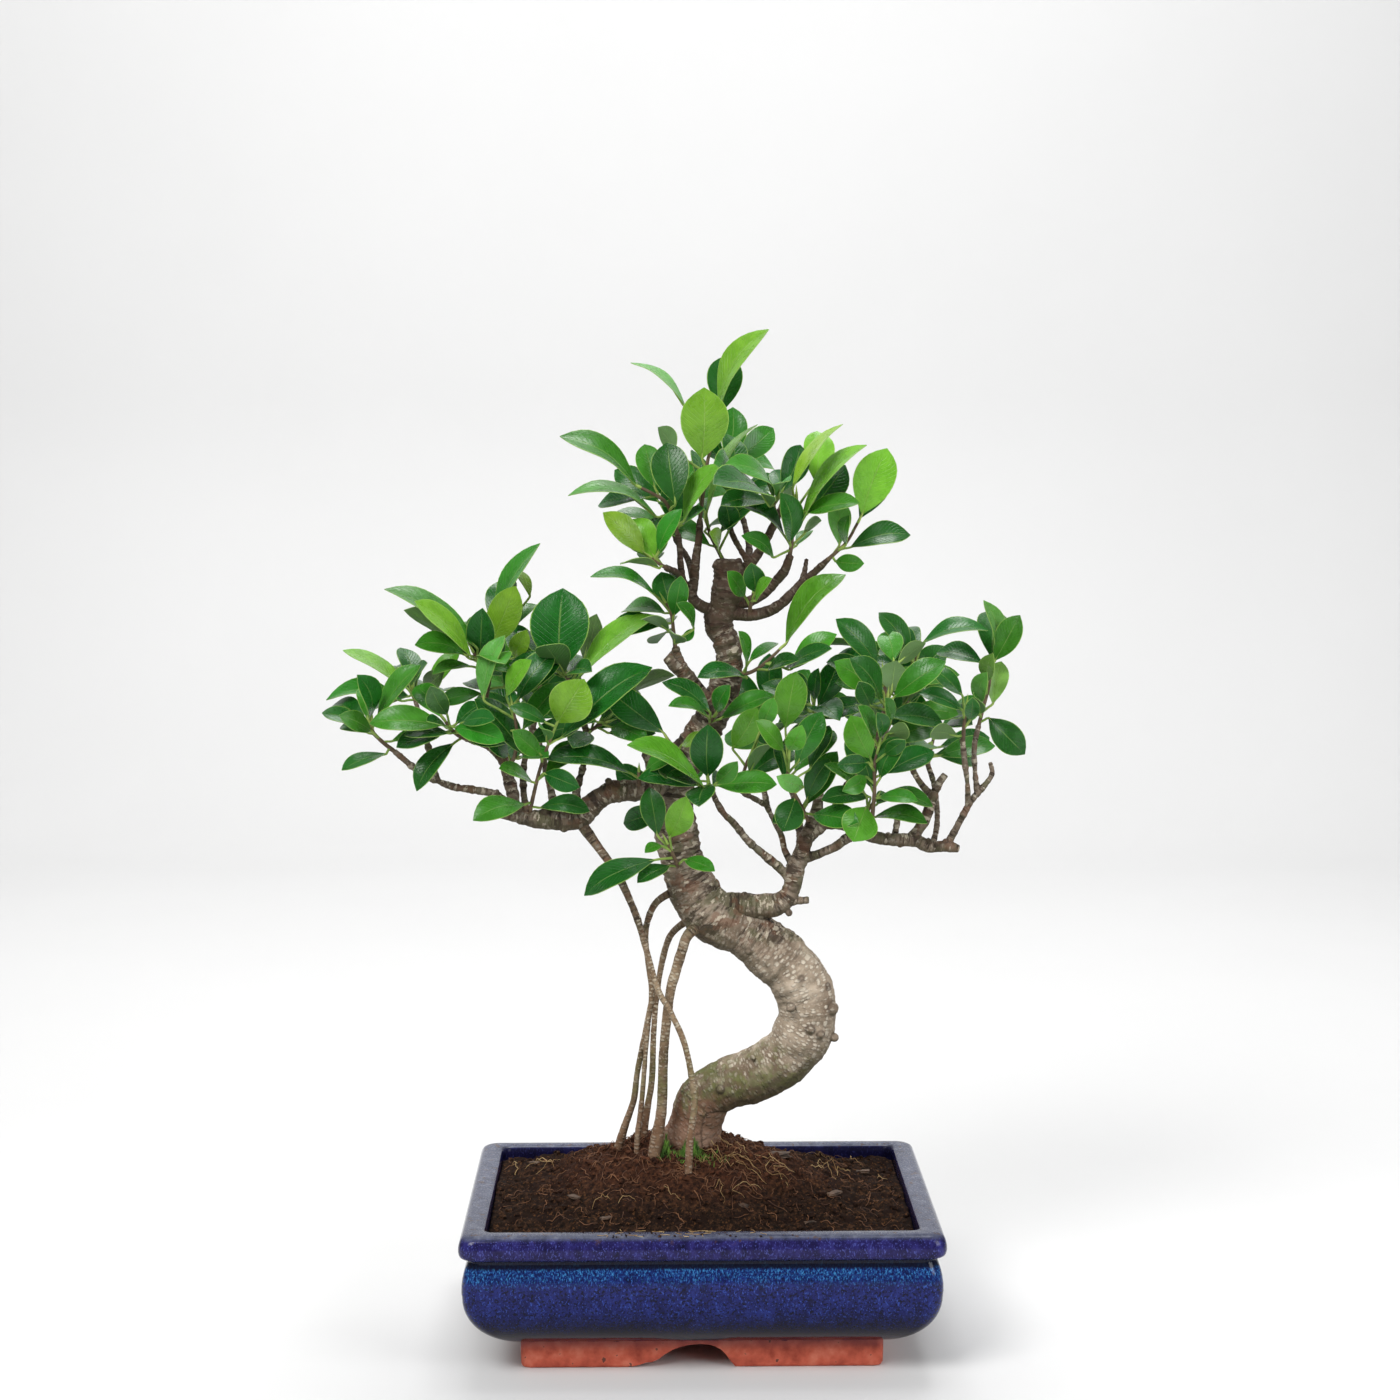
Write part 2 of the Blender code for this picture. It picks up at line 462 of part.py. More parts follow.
            (103, 310, 127, 308, 10, -12, 0.08, "leaf"), (100, 313, 108, 323, -9, -16, 0.06, "olive"),
            (104, 334, 98, 352, 11, 14, 0.06, "dark"),
        ],
    ),
    "shoot_right_far": (
        [(136.6, 300, 3.5), (139, 310, 7), (142, 322, 9), (143, 332, 10)],
        [
            (145, 337, 139, 364, 9, 4, 0.15, "pale"), (141, 324, 143, 337, 8, -14, 0.06, "pale"),
            (137, 312, 140, 328, 8, -14, 0.06, "pale"), (144, 313, 148, 334, 12, 10, 0.06, "pale"),
            (142, 306, 160, 288, 15, -8, 0.1, "dark"),
        ],
    ),
    "shoot_right_far_low": (
        [(129.4, 294, -12), (130, 303, -17), (131, 312, -20)],
        [
            (129, 310, 108, 319, 8, -4, 0.08, "dark"), (129, 317, 114, 331, 9, 4, 0.06, "dark"),
            (133, 305, 134, 316, 8, -12, 0.06, "dark"), (127, 297, 113, 299, -9, -12, 0.06, "olive"),
        ],
    ),
    "shoot_right_mid": (
        [(84, 247.3, -9), (85, 257, -21), (86, 270, -29), (86, 283, -34), (88, 293, -36)],
        [
            (84, 286, 74, 307, 15, -4, 0.08, "young"), (89, 296, 88, 308, 8, -14, 0.06, "dark"),
            (91, 288, 101, 295, 8, -12, 0.06, "dark"), (83, 284, 68, 283, 10, -10, 0.06, "dark"),
            (92, 298, 103, 300, -9, -10, 0.06, "olive"), (82, 277, 71, 270, 9, -12, 0.06, "leaf"),
        ],
    ),
    "shoot_right_low": (
        [(77, 248, -9), (81, 257, -15), (86, 265, -17)],
        [
            (84, 267, 60, 266, 8, -8, 0.06, "dark"), (88, 267, 115, 262, 6, -4, 0.14, "leaf"),
            (82, 268, 62, 284, 5, -4, 0.06, "leaf"), (82, 262, 76, 245, 19, -12, 0.06, "young"),
            (86, 257, 112, 255, 7, -12, 0.12, "leaf"),
        ],
    ),
    "shoot_back_left": (
        [(-79.7, 297, 41.5), (-84, 308, 50), (-88, 320, 56)],
        [
            (-90, 322, -110, 345, 14, 12, 0.08, "dark"), (-86, 322, -70, 348, 16, 14, 0.06, "leaf"),
            (-87, 310, -108, 318, 12, 22, 0.08, "dark"), (-80, 306, -62, 318, 14, 22, 0.06, "leaf"),
            (-84, 299, -98, 288, 12, 16, 0.08, "dark"), (-89, 324, -92, 352, 14, 2, 0.06, "leaf"),
        ],
    ),
    "shoot_back_left_low": (
        [(-80, 314, 23.6), (-78, 324, 29), (-76, 332, 33)],
        [
            (-75, 334, -58, 352, 13, 8, 0.06, "dark"), (-78, 333, -94, 352, 14, 6, 0.06, "dark"),
            (-81, 318, -98, 330, 12, 12, 0.06, "leaf"), (-76, 322, -58, 326, 12, 10, 0.06, "dark"),
        ],
    ),
    "shoot_back_crown": (
        [(18.4, 411, 43.3), (16, 420, 50), (14, 430, 55)],
        [
            (12, 432, -6, 452, 14, 10, 0.08, "dark"), (17, 431, 36, 448, 14, 12, 0.06, "leaf"),
            (20, 416, 42, 422, 12, 20, 0.08, "dark"), (14, 416, -8, 420, 13, 20, 0.06, "leaf"),
            (14, 433, 16, 458, 15, 4, 0.08, "leaf"),
        ],
    ),
    "shoot_back_upper_left": (
        [(-11.7, 393, 27), (-15, 402, 34), (-17, 410, 38)],
        [
            (-20, 412, -42, 428, 14, 10, 0.08, "dark"), (-14, 411, 0, 428, 13, 14, 0.06, "leaf"),
            (-16, 396, -40, 396, 12, 16, 0.08, "dark"), (-17, 413, -18, 438, 14, 6, 0.06, "dark"),
        ],
    ),
    "shoot_back_centre": (
        [(40.4, 285, 43.3), (36, 296, 52), (34, 308, 58)],
        [
            (32, 311, 14, 328, 14, 12, 0.06, "dark"), (37, 310, 54, 330, 14, 10, 0.06, "leaf"),
            (40, 293, 62, 298, 13, 20, 0.08, "dark"), (35, 292, 12, 298, 13, 20, 0.06, "leaf"),
            (34, 312, 34, 338, 14, 4, 0.06, "dark"),
        ],
    ),
    "shoot_back_right": (
        [(91.5, 299, 41.4), (96, 310, 50), (98, 320, 55)],
        [
            (100, 323, 120, 342, 14, 12, 0.06, "dark"), (96, 323, 80, 344, 14, 10, 0.06, "leaf"),
            (97, 305, 118, 308, 13, 20, 0.08, "dark"), (91, 306, 70, 312, 13, 20, 0.06, "dark"),
            (98, 324, 100, 350, 14, 4, 0.06, "leaf"),
        ],
    ),
    "shoot_back_far_right": (
        [(112.3, 283, 37), (114, 292, 44), (116, 300, 48)],
        [
            (119, 302, 138, 316, 13, 12, 0.06, "leaf"), (114, 303, 100, 318, 13, 12, 0.06, "dark"),
            (116, 288, 136, 286, 12, 18, 0.08, "dark"), (110, 289, 90, 284, 12, 16, 0.06, "leaf"),
        ],
    ),
    "shoot_back_trunk": (
        [(-12, 256, 6), (-14, 262, 20), (-18, 268, 28)],
        [
            (-20, 270, -42, 282, 13, 10, 0.08, "dark"), (-15, 271, 2, 286, 13, 14, 0.06, "leaf"),
            (-17, 261, -38, 254, 12, 14, 0.08, "dark"),
        ],
    ),
}

LEAF_TONES = {
    "young": (0.36, 0.56, 0.07),
    "leaf": (0.09, 0.32, 0.05),
    "dark": (0.03, 0.13, 0.04),
    "olive": (0.16, 0.22, 0.12),
    "pale": (0.30, 0.48, 0.34),
}


def material(name, colour, roughness):
    made = bpy.data.materials.new(name)
    made.use_nodes = True
    shader = made.node_tree.nodes["Principled BSDF"]
    shader.inputs["Base Color"].default_value = (*colour, 1.0)
    shader.inputs["Roughness"].default_value = roughness
    return made


def at(x, z, y):
    """The place that shows at x, z of the middle plane and lies y behind it."""
    spread = (y - SIGHT.y) / -SIGHT.y
    across = SIGHT.x + (x - SIGHT.x) * spread
    height = SIGHT.z + (z - SIGHT.z) * spread + TREE_LIFT
    return Vector((across, y, height)) * MM


def add_mesh(name, mesh, home):
    made = bpy.data.objects.new(name, mesh)
    home.objects.link(made)
    return made


def mesh_from(bm, name):
    mesh = bpy.data.meshes.new(name)
    bm.to_mesh(mesh)
    bm.free()
    return mesh


def bake(obj):
    """Replaces an object's mesh with the one its modifiers give."""
    bpy.context.view_layer.update()
    graph = bpy.context.evaluated_depsgraph_get()
    result = bpy.data.meshes.new_from_object(obj.evaluated_get(graph))
    obj.modifiers.clear()
    obj.data = result


def settle(obj):
    """Bakes a cut, then merges doubled points and splits bent faces, so that the next cut starts clean."""
    bake(obj)
    bm = bmesh.new()
    bm.from_mesh(obj.data)
    bmesh.ops.remove_doubles(bm, verts=bm.verts, dist=DOUBLED)
    bmesh.ops.triangulate(bm, faces=bm.faces)
    bm.to_mesh(obj.data)
    bm.free()


def boolean(obj, operation, cutter):
    change = obj.modifiers.new(operation.title(), "BOOLEAN")
    change.operation = operation
    change.solver = "EXACT"
    if isinstance(cutter, bpy.types.Collection):
        change.operand_type = "COLLECTION"
        change.collection = cutter
    else:
        change.object = cutter


def helper_collection(name):
    made = bpy.data.collections.new(name)
    bpy.context.scene.collection.children.link(made)
    made.hide_render = True
    return made


def clear_helpers(home):
    for obj in list(home.objects):
        bpy.data.objects.remove(obj)
    bpy.data.collections.remove(home)


def as_helper(obj):
    obj.hide_render = True
    obj.display_type = "WIRE"
    return obj


def tube(name, run, sides, home, grow=0.0):
    """A round branch through (place, radius in mm) pairs, as a mesh; grow thickens it and its far end."""
    data = bpy.data.curves.new(name, "CURVE")
    data.dimensions = "3D"
    data.bevel_depth = MM
    data.bevel_resolution = (sides - 4) // 2
    data.use_fill_caps = True
    spline = data.splines.new("POLY")
    spline.points.add(len(run) - 1)
    last, before = run[-1][0], run[-2][0]
    for point, (place, radius) in zip(spline.points, run):
        end = (last - before).normalized() * grow * MM if place is last else Vector()
        point.co = (*(place + end), 1.0)
        point.radius = radius + grow
    curve = bpy.data.objects.new(name + "_curve", data)
    home.objects.link(curve)
    bpy.context.view_layer.update()
    graph = bpy.context.evaluated_depsgraph_get()
    mesh = bpy.data.meshes.new_from_object(curve.evaluated_get(graph))
    bpy.data.objects.remove(curve)
    bm = bmesh.new()
    bm.from_mesh(mesh)
    bmesh.ops.remove_doubles(bm, verts=bm.verts, dist=0.00001)
    bmesh.ops.recalc_face_normals(bm, faces=bm.faces)
    bm.to_mesh(mesh)
    bm.free()
    for face in mesh.polygons:
        face.use_smooth = True
    return add_mesh(name, mesh, home)


def wood_run(points, girth):
    return [(at(x, z, y), radius * girth) for x, z, y, radius in points]


def branching(name, branches, girth, cutters, home, looks):
    """One node from a dictionary of runs: the first is the stem and the rest join it."""
    runs = list(branches.values())
    joined = helper_collection(name + "_joined")
    node = tube(name, wood_run(runs[0], girth), 12 if len(runs[0]) > 20 else 8, home)
    for number, run in enumerate(runs[1:]):
        as_helper(tube(f"{name}_piece_{number}", wood_run(run, girth), 6, joined))
    if len(runs) > 1:
        boolean(node, "UNION", joined)
    for cutter in cutters:
        boolean(node, "DIFFERENCE", cutter)
    bake(node)
    clear_helpers(joined)
    node.data.materials.clear()
    node.data.materials.append(looks)
    return node


def clearance_of(name, branches, girth):
    """The same runs grown by CLEARANCE, to cut what meets them."""
    home = helper_collection(name + "_clearance")
    for number, run in enumerate(branches.values()):
        sides = 12 if len(run) > 20 else 8
        grown = tube(f"{name}_clearance_{number}", wood_run(run, girth), sides, home, CLEARANCE * FACET_ALLOWANCE)
        as_helper(grown)
    return home


def rounded_ring(bm, half_x, half_y, radius, z, steps=2):
    """A rounded rectangle of vertices, counter-clockwise from the +X side."""
    ring = []
    radius = min(radius, half_x, half_y)
    corners = [(1, 1, 0), (-1, 1, 90), (-1, -1, 180), (1, -1, 270)]
    for side_x, side_y, start in corners:
        middle = Vector((side_x * (half_x - radius), side_y * (half_y - radius)))
        for step in range(steps + 1):
            turn = math.radians(start + 90 * step / steps)
            x = middle.x + radius * math.cos(turn)
            y = middle.y + radius * math.sin(turn)
            ring.append(bm.verts.new((x * MM, y * MM, z * MM)))
    return ring


def loft(name, rings, home):
    """A closed solid through (half_x, half_y, corner radius, z) sections, lowest first."""
    bm = bmesh.new()
    made = [rounded_ring(bm, *ring) for ring in rings]
    for low, high in zip(made, made[1:]):
        for index, corner in enumerate(low):
            beyond = (index + 1) % len(low)
            bm.faces.new((corner, low[beyond], high[beyond], high[index]))
    bm.faces.new(reversed(made[0]))
    bm.faces.new(made[-1])
    return add_mesh(name, mesh_from(bm, name), home)


def block(name, size, centre, home):
    bm = bmesh.new()
    bmesh.ops.create_cube(bm, size=1.0)
    bmesh.ops.scale(bm, vec=Vector(size) * MM, verts=bm.verts)
    bmesh.ops.translate(bm, vec=Vector(centre) * MM, verts=bm.verts)
    return as_helper(add_mesh(name, mesh_from(bm, name), home))


def cylinder(name, diameter, low, high, place, home):
    bm = bmesh.new()
    bmesh.ops.create_cone(
        bm, cap_ends=True, segments=20, radius1=diameter / 2 * MM, radius2=diameter / 2 * MM,
        depth=(high - low) * MM,
    )
    bmesh.ops.translate(bm, vec=Vector((*place, (low + high) / 2)) * MM, verts=bm.verts)
    return as_helper(add_mesh(name, mesh_from(bm, name), home))


def pot_sections():
    """The outside of the pot, from the foot up, as (inset from the full size, corner radius, height)."""
    belly_low = FOOT_HEIGHT
    belly_high = POT_HEIGHT - RIM_HEIGHT - 2.0
    belly = belly_high - belly_low
    foot = [(None, 4.0, 0.0), (None, 4.0, FOOT_HEIGHT)]
    shares = [(0.0, 25.0), (0.07, 16.0), (0.2, 5.6), (0.38, 1.6), (0.58, 0.4), (0.76, 0.9), (0.92, 1.9)]
    body = [(inset, CORNER + 4.0, belly_low + belly * share) for share, inset in shares]
    rim_low = POT_HEIGHT - RIM_HEIGHT
    neck = [(GROOVE, CORNER, belly_high), (GROOVE, CORNER, rim_low)]
    rim = [
        (0.4, CORNER, rim_low + 0.22 * RIM_HEIGHT), (0.0, CORNER, rim_low + 0.55 * RIM_HEIGHT),
        (0.8, CORNER, rim_low + 0.85 * RIM_HEIGHT), (3.2, CORNER, POT_HEIGHT),
    ]
    return foot + body + neck + rim


def foot_half():
    return POT_WIDTH / 2 - FOOT_INSET_X, POT_DEPTH / 2 - FOOT_INSET_Y


def cavity_half(z):
    """Half the pot's inside width and depth at a height: straight walls that round in to the floor."""
    share = min(1.0, (z - FOOT_HOLLOW - FLOOR) / CAVITY_ROUND)
    thickness = RIM_WIDTH + CAVITY_INSET * (1.0 - share) ** 2
    return POT_WIDTH / 2 - thickness, POT_DEPTH / 2 - thickness


def cavity_heights(low, high):
    """Heights at which the inside's walls are drawn, closer together where they curve."""
    return [low, low + 4.0, low + 9.0, low + CAVITY_ROUND, high]


def foot_arch(name, outline, y_low, y_high, home):
    """The cut-out under one side of the foot, an outline in (x, z) drawn out along Y."""
    data = bpy.data.curves.new(name, "CURVE")
    data.dimensions = "2D"
    data.fill_mode = "BOTH"
    data.extrude = (y_high - y_low) / 2 * MM
    spline = data.splines.new("POLY")
    spline.points.add(len(outline) - 1)
    for point, (x, z) in zip(spline.points, outline):
        point.co = (x * MM, z * MM, 0.0, 1.0)
    spline.use_cyclic_u = True
    curve = bpy.data.objects.new(name + "_curve", data)
    home.objects.link(curve)
    curve.rotation_euler = (math.radians(90), 0.0, 0.0)
    curve.location = (0.0, (y_low + y_high) / 2 * MM, 0.0)
    bpy.context.view_layer.update()
    graph = bpy.context.evaluated_depsgraph_get()
    mesh = bpy.data.meshes.new_from_object(curve.evaluated_get(graph))
    mesh.transform(curve.matrix_world)
    bpy.data.objects.remove(curve)
    bm = bmesh.new()
    bm.from_mesh(mesh)
    bmesh.ops.remove_doubles(bm, verts=bm.verts, dist=0.00001)
    bmesh.ops.recalc_face_normals(bm, faces=bm.faces)
    bm.to_mesh(mesh)
    bm.free()
    return as_helper(add_mesh(name, mesh, home))


def drain_places():
    return [(-DRAIN_SPACING / 2, 0.0), (DRAIN_SPACING / 2, 0.0)]


def make_pot(home, looks):
    foot_x, foot_y = foot_half()
    sections = []
    for inset, radius, z in pot_sections():
        if inset is None:
            sections.append((foot_x, foot_y, radius, z))
        else:
            sections.append((POT_WIDTH / 2 - inset, POT_DEPTH / 2 - inset, radius, z))
    pot = loft("pot", sections, home)
    cuts = helper_collection("pot_cuts")
    floor_top = FOOT_HOLLOW + FLOOR
    heights = cavity_heights(floor_top, POT_HEIGHT + 2.0)
    as_helper(loft("pot_inside", [(*cavity_half(z), CORNER, z) for z in heights], cuts))
    hollow = [(foot_x - FOOT_WALL, foot_y - FOOT_WALL, 6.0, z) for z in (-2.0, FOOT_HOLLOW)]
    as_helper(loft("foot_inside", hollow, cuts))
    for number, place in enumerate(drain_places()):
        cylinder(f"drain_{number}", DRAIN_HOLE, -1.0, floor_top + 1.0, place, cuts)
    top = FOOT_HEIGHT - 1.5
    chipped = [
        (-35, -2), (-35, 0.2), (-27, 2.4), (-21, 4.0), (-14, 9.0), (-6, top), (3, top), (9, 9.0),
        (13, 4.0), (16, 0.2), (16, -2),
    ]
    plain = [(-19, -2), (-17, 2.0), (-13, 8.0), (-6, top), (6, top), (13, 8.0), (17, 2.0), (19, -2)]
    foot_arch("front_arch", chipped, -foot_y - 3.0, -foot_y + FOOT_WALL + 0.5, cuts)
    foot_arch("back_arch", plain, foot_y - FOOT_WALL - 0.5, foot_y + 3.0, cuts)
    boolean(pot, "DIFFERENCE", cuts)
    bake(pot)
    clear_helpers(cuts)
    pot.data.materials.append(looks)
    return pot


def mound(x, y):
    """Height of the soil at a place: level near the walls, heaped around the trunk."""
    reach_x = (x - MOUND_PLACE[0]) / MOUND_SPREAD[0]
    reach_y = (y - MOUND_PLACE[1]) / MOUND_SPREAD[1]
    return POT_HEIGHT - SOIL_BELOW_RIM + MOUND_HEIGHT * math.exp(-(reach_x**2 + reach_y**2) / 2)


def make_soil(cutters, home, looks):
    floor_top = FOOT_HOLLOW + FLOOR + SCREEN_THICKNESS + 2 * CLEARANCE
    ceiling = POT_HEIGHT + MOUND_HEIGHT + 10.0
    sections = []
    for z in cavity_heights(floor_top, ceiling):
        half_x, half_y = cavity_half(z - SCREEN_THICKNESS - 2 * CLEARANCE)
        sections.append((half_x - CLEARANCE, half_y - CLEARANCE, CORNER, z))
    soil = loft("soil", sections, home)
    helpers = helper_collection("soil_helpers")
    bm = bmesh.new()
    bmesh.ops.create_grid(bm, x_segments=13, y_segments=10, size=0.5)
    for vert in bm.verts:
        vert.co.x *= (POT_WIDTH + 20.0) * MM
        vert.co.y *= (POT_DEPTH + 20.0) * MM
        vert.co.z = mound(vert.co.x / MM, vert.co.y / MM) * MM
    top = bmesh.ops.extrude_face_region(bm, geom=bm.faces[:])
    raised = [item for item in top["geom"] if isinstance(item, bmesh.types.BMVert)]
    for vert in raised:
        vert.co.z = (ceiling + 10.0) * MM
    bmesh.ops.recalc_face_normals(bm, faces=bm.faces)
    bmesh.ops.triangulate(bm, faces=bm.faces)
    air = as_helper(add_mesh("air", mesh_from(bm, "air"), helpers))
    for cutter in [air, *cutters]:
        settle(soil)
        boolean(soil, "DIFFERENCE", cutter)
    settle(soil)
    clear_helpers(helpers)
    soil.data.materials.append(looks)
    return soil


def make_screens(home, looks):
    """A square of plastic mesh over each drain hole, under the soil."""
    low = FOOT_HOLLOW + FLOOR + CLEARANCE
    for name, place in zip(("drain_screen_left", "drain_screen_right"), drain_places()):
        bm = bmesh.new()
        bmesh.ops.create_cube(bm, size=1.0)
        bmesh.ops.scale(bm, vec=Vector((SCREEN_SIDE, SCREEN_SIDE, SCREEN_THICKNESS)) * MM, verts=bm.verts)
        middle = Vector((*place, low + SCREEN_THICKNESS / 2)) * MM
        bmesh.ops.translate(bm, vec=middle, verts=bm.verts)
        screen = add_mesh(name, mesh_from(bm, name), home)
        holes = helper_collection(name + "_holes")
        pitch = SCREEN_SIDE / 4
        for column in (-1, 0, 1):
            for row in (-1, 0, 1):
                centre = (place[0] + column * pitch, place[1] + row * pitch, low + SCREEN_THICKNESS / 2)
                block(f"{name}_{column}_{row}", (SCREEN_HOLE, SCREEN_HOLE, 4.0), centre, holes)
        boolean(screen, "DIFFERENCE", holes)
        bake(screen)
        clear_helpers(holes)
        screen.data.materials.append(looks)


def stem_point(stem, base):
    """Where a leaf stalk leaves the stem: nearest the blade's base, then a little way back down."""
    samples = []
    for start, end in zip(stem, stem[1:]):
        samples += [start.lerp(end, step / 8) for step in range(8)]
    samples.append(stem[-1])
    free = [place for place in samples if (place - stem[0]).length > BARE_STEM * MM]
    nearest = min(range(len(free)), key=lambda index: (free[index] - base).length)
    back = nearest
    while back > 0 and (free[back] - free[nearest]).length < STALK_RUN * MM:
        back -= 1
    return free[back]


def leaf_frame(leaf, stem, shift, extra):
    """The stalk's start, the blade's base and tip, its upward normal and its breadth."""
    base_x, base_z, tip_x, tip_z, breadth, swing, arch, tone = leaf
    rough = min(stem, key=lambda place: (place - at(base_x, base_z, place.y / MM)).length)
    base_y = rough.y / MM + 0.2 * swing + shift
    base = at(base_x, base_z, base_y)
    tip = at(tip_x, tip_z, base_y + swing + extra)
    start = stem_point(stem, base)
    along = (tip - base).normalized()
    upward = Vector((-along.z, 0.0, along.x)).normalized()
    if upward.z < 0:
        upward = -upward
    facing = Vector((0.0, -1.0, 0.0)) if breadth > 0 else Vector((0.0, 1.0, 0.0))
    full = min(max(LEAF_RATIO * (tip - base).length / MM, abs(breadth)), 31.0) * LEAF_BREADTH
    share = min(1.0, abs(breadth) * LEAF_BREADTH / full)
    normal = facing * share + upward * math.sqrt(1.0 - share**2)
    normal = (normal - along * normal.dot(along)).normalized()
    return start, base, tip, normal, full


def leaf_stations(leaf, stem, shift, extra):
    """Pairs of edge points from the stalk's start to the tip, and the blade's normal."""
    start, base, tip, normal, full = leaf_frame(leaf, stem, shift, extra)
    along = tip - base
    side = along.normalized().cross(normal)
    arch = leaf[6]
    rows = [(start, PETIOLE), (base, PETIOLE)]
    for share, breadth in ((0.32, 0.94), (0.68, 0.82), (1.0, 0.05)):
        lift = normal * along.length * arch * math.sin(math.pi * share)
        rows.append((base + along * share + lift, max(full * breadth, 0.9)))
    return [(place - side * wide / 2 * MM, place + side * wide / 2 * MM) for place, wide in rows], normal


def slab(stations, normal, half):
    """A thin closed box around part of a leaf, as a search tree."""
    points = []
    for left, right in stations:
        out = (right - left).normalized() * 0.6 * MM
        points += [
            left - out + normal * half * MM, right + out + normal * half * MM,
            right + out - normal * half * MM, left - out - normal * half * MM,
        ]
    faces = [(0, 3, 2, 1), tuple(len(points) - 4 + corner for corner in range(4))]
    for row in range(len(stations) - 1):
        for corner in range(4):
            beyond = (corner + 1) % 4
            low = row * 4
            faces.append((low + corner, low + beyond, low + 4 + beyond, low + 4 + corner))
    return BVHTree.FromPolygons(points, faces), points


def tree_of(obj):
    verts = [vert.co.copy() for vert in obj.data.vertices]
    return BVHTree.FromPolygons(verts, [tuple(face.vertices) for face in obj.data.polygons]), verts


def box_of(points):
    lows = [min(point[axis] for point in points) for axis in range(3)]
    highs = [max(point[axis] for point in points) for axis in range(3)]
    return lows, highs


def boxes_meet(first, second):
    return all(first[0][axis] <= second[1][axis] and second[0][axis] <= first[1][axis] for axis in range(3))


def hits(tree, box, others):
    return sum(1 for other, near in others if boxes_meet(box, near) and tree.overlap(other))


def turns():
    """Ways to shift and swing a leaf in depth, the smallest change first."""
    shifts = (0, 3, -3, 6, -6, 9, -9)
    swings = (0, 6, -6, 12, -12, 18, -18, 25, -25, 32, -32)
    both = [(shift, swing) for shift in shifts for swing in swings]
    return sorted(both, key=lambda pair: abs(pair[0]) * 1.5 + abs(pair[1]))


def place_leaf(leaf, stem, wood, strangers, siblings):
    """Turns a leaf towards or away from the front until it is clear of what already grows there."""
    best = None
    for shift, swing in turns():
        stations, normal = leaf_stations(leaf, stem, shift, swing)
        whole, whole_points = slab(stations, normal, LEAF_ROOM)
        blade, blade_points = slab(stations[1:], normal, LEAF_ROOM)
        stalk = [tuple(first.lerp(second, 0.4) for first, second in zip(*stations[:2])), stations[1]]
        stalk_tree, stalk_points = slab(stalk, normal, LEAF_ROOM)
        whole_box, blade_box = box_of(whole_points), box_of(blade_points)
        found = hits(whole, whole_box, strangers) + hits(blade, blade_box, wood)
        found += hits(stalk_tree, box_of(stalk_points), wood)
        found += 0.25 * hits(blade, blade_box, siblings)
        if best is None or found < best[0]:
            best = (found, stations, normal)
        if found == 0:
            break
    return best


def leaf_solid(name, stations, normal, home, tone_index):
    bm = bmesh.new()
    bmesh.ops.create_grid(bm, x_segments=1, y_segments=len(stations) - 1, size=0.5)
    ordered = sorted(bm.verts, key=lambda vert: (round(vert.co.y, 4), vert.co.x))
    for row, (left, right) in enumerate(stations):
        ordered[2 * row].co = left
        ordered[2 * row + 1].co = right
    bm.normal_update()
    if sum((face.normal for face in bm.faces), Vector()).dot(normal) < 0:
        bmesh.ops.reverse_faces(bm, faces=bm.faces)
    for face in bm.faces:
        face.material_index = tone_index
    obj = as_helper(add_mesh(name, mesh_from(bm, name), home))
    shell = obj.modifiers.new("Thickness", "SOLIDIFY")
    shell.thickness = LEAF_THICKNESS * MM
    shell.offset = 0.0
    for tone in LEAF_TONES:
        obj.data.materials.append(bpy.data.materials["leaf_" + tone])
    return obj


def stem_places(points):
    return [at(x, z, y) for x, z, y in points]


def stem_run(places):
    last = len(places) - 1
    return [(place, STEM_RADIUS * (1.0 - 0.35 * index / last)) for index, place in enumerate(places)]


def make_shoots(wood_nodes, clearances, home):
    wood = []
    for node in wood_nodes:
        tree, points = tree_of(node)
        wood.append((tree, box_of(points)))
    stems = {}
    stem_trees = {}
    for name, (points, _) in SHOOTS.items():
        places = stem_places(points)
        stem = tube(name, stem_run(places), 4, home)
        for tone in LEAF_TONES:
            stem.data.materials.append(bpy.data.materials["leaf_" + tone])
        tree, verts = tree_of(stem)
        stems[name] = (stem, places)
        stem_trees[name] = (tree, box_of(verts))
    placed = []
    for name, (_, leaves) in SHOOTS.items():
        stem, places = stems[name]
        joined = helper_collection(name + "_leaves")
        strangers = placed + [tree for other, tree in stem_trees.items() if other != name]
        siblings, own = [], []
        for number, leaf in enumerate(leaves):
            found, stations, normal = place_leaf(leaf, places, wood, strangers, siblings)
            if found:
                print(f"{name} leaf {number} is crowded: {found}")
            sheet, points = slab(stations, normal, LEAF_THICKNESS)
            own.append((sheet, box_of(points)))
            siblings.append(slab_entry(stations[1:], normal))
            leaf_solid(f"{name}_leaf_{number}", stations, normal, joined, list(LEAF_TONES).index(leaf[7]))
        placed += own
        boolean(stem, "UNION", joined)
        for cutter in clearances:
            boolean(stem, "DIFFERENCE", cutter)
        bake(stem)
        clear_helpers(joined)


def slab_entry(stations, normal):
    tree, points = slab(stations, normal, LEAF_THICKNESS)
    return tree, box_of(points)


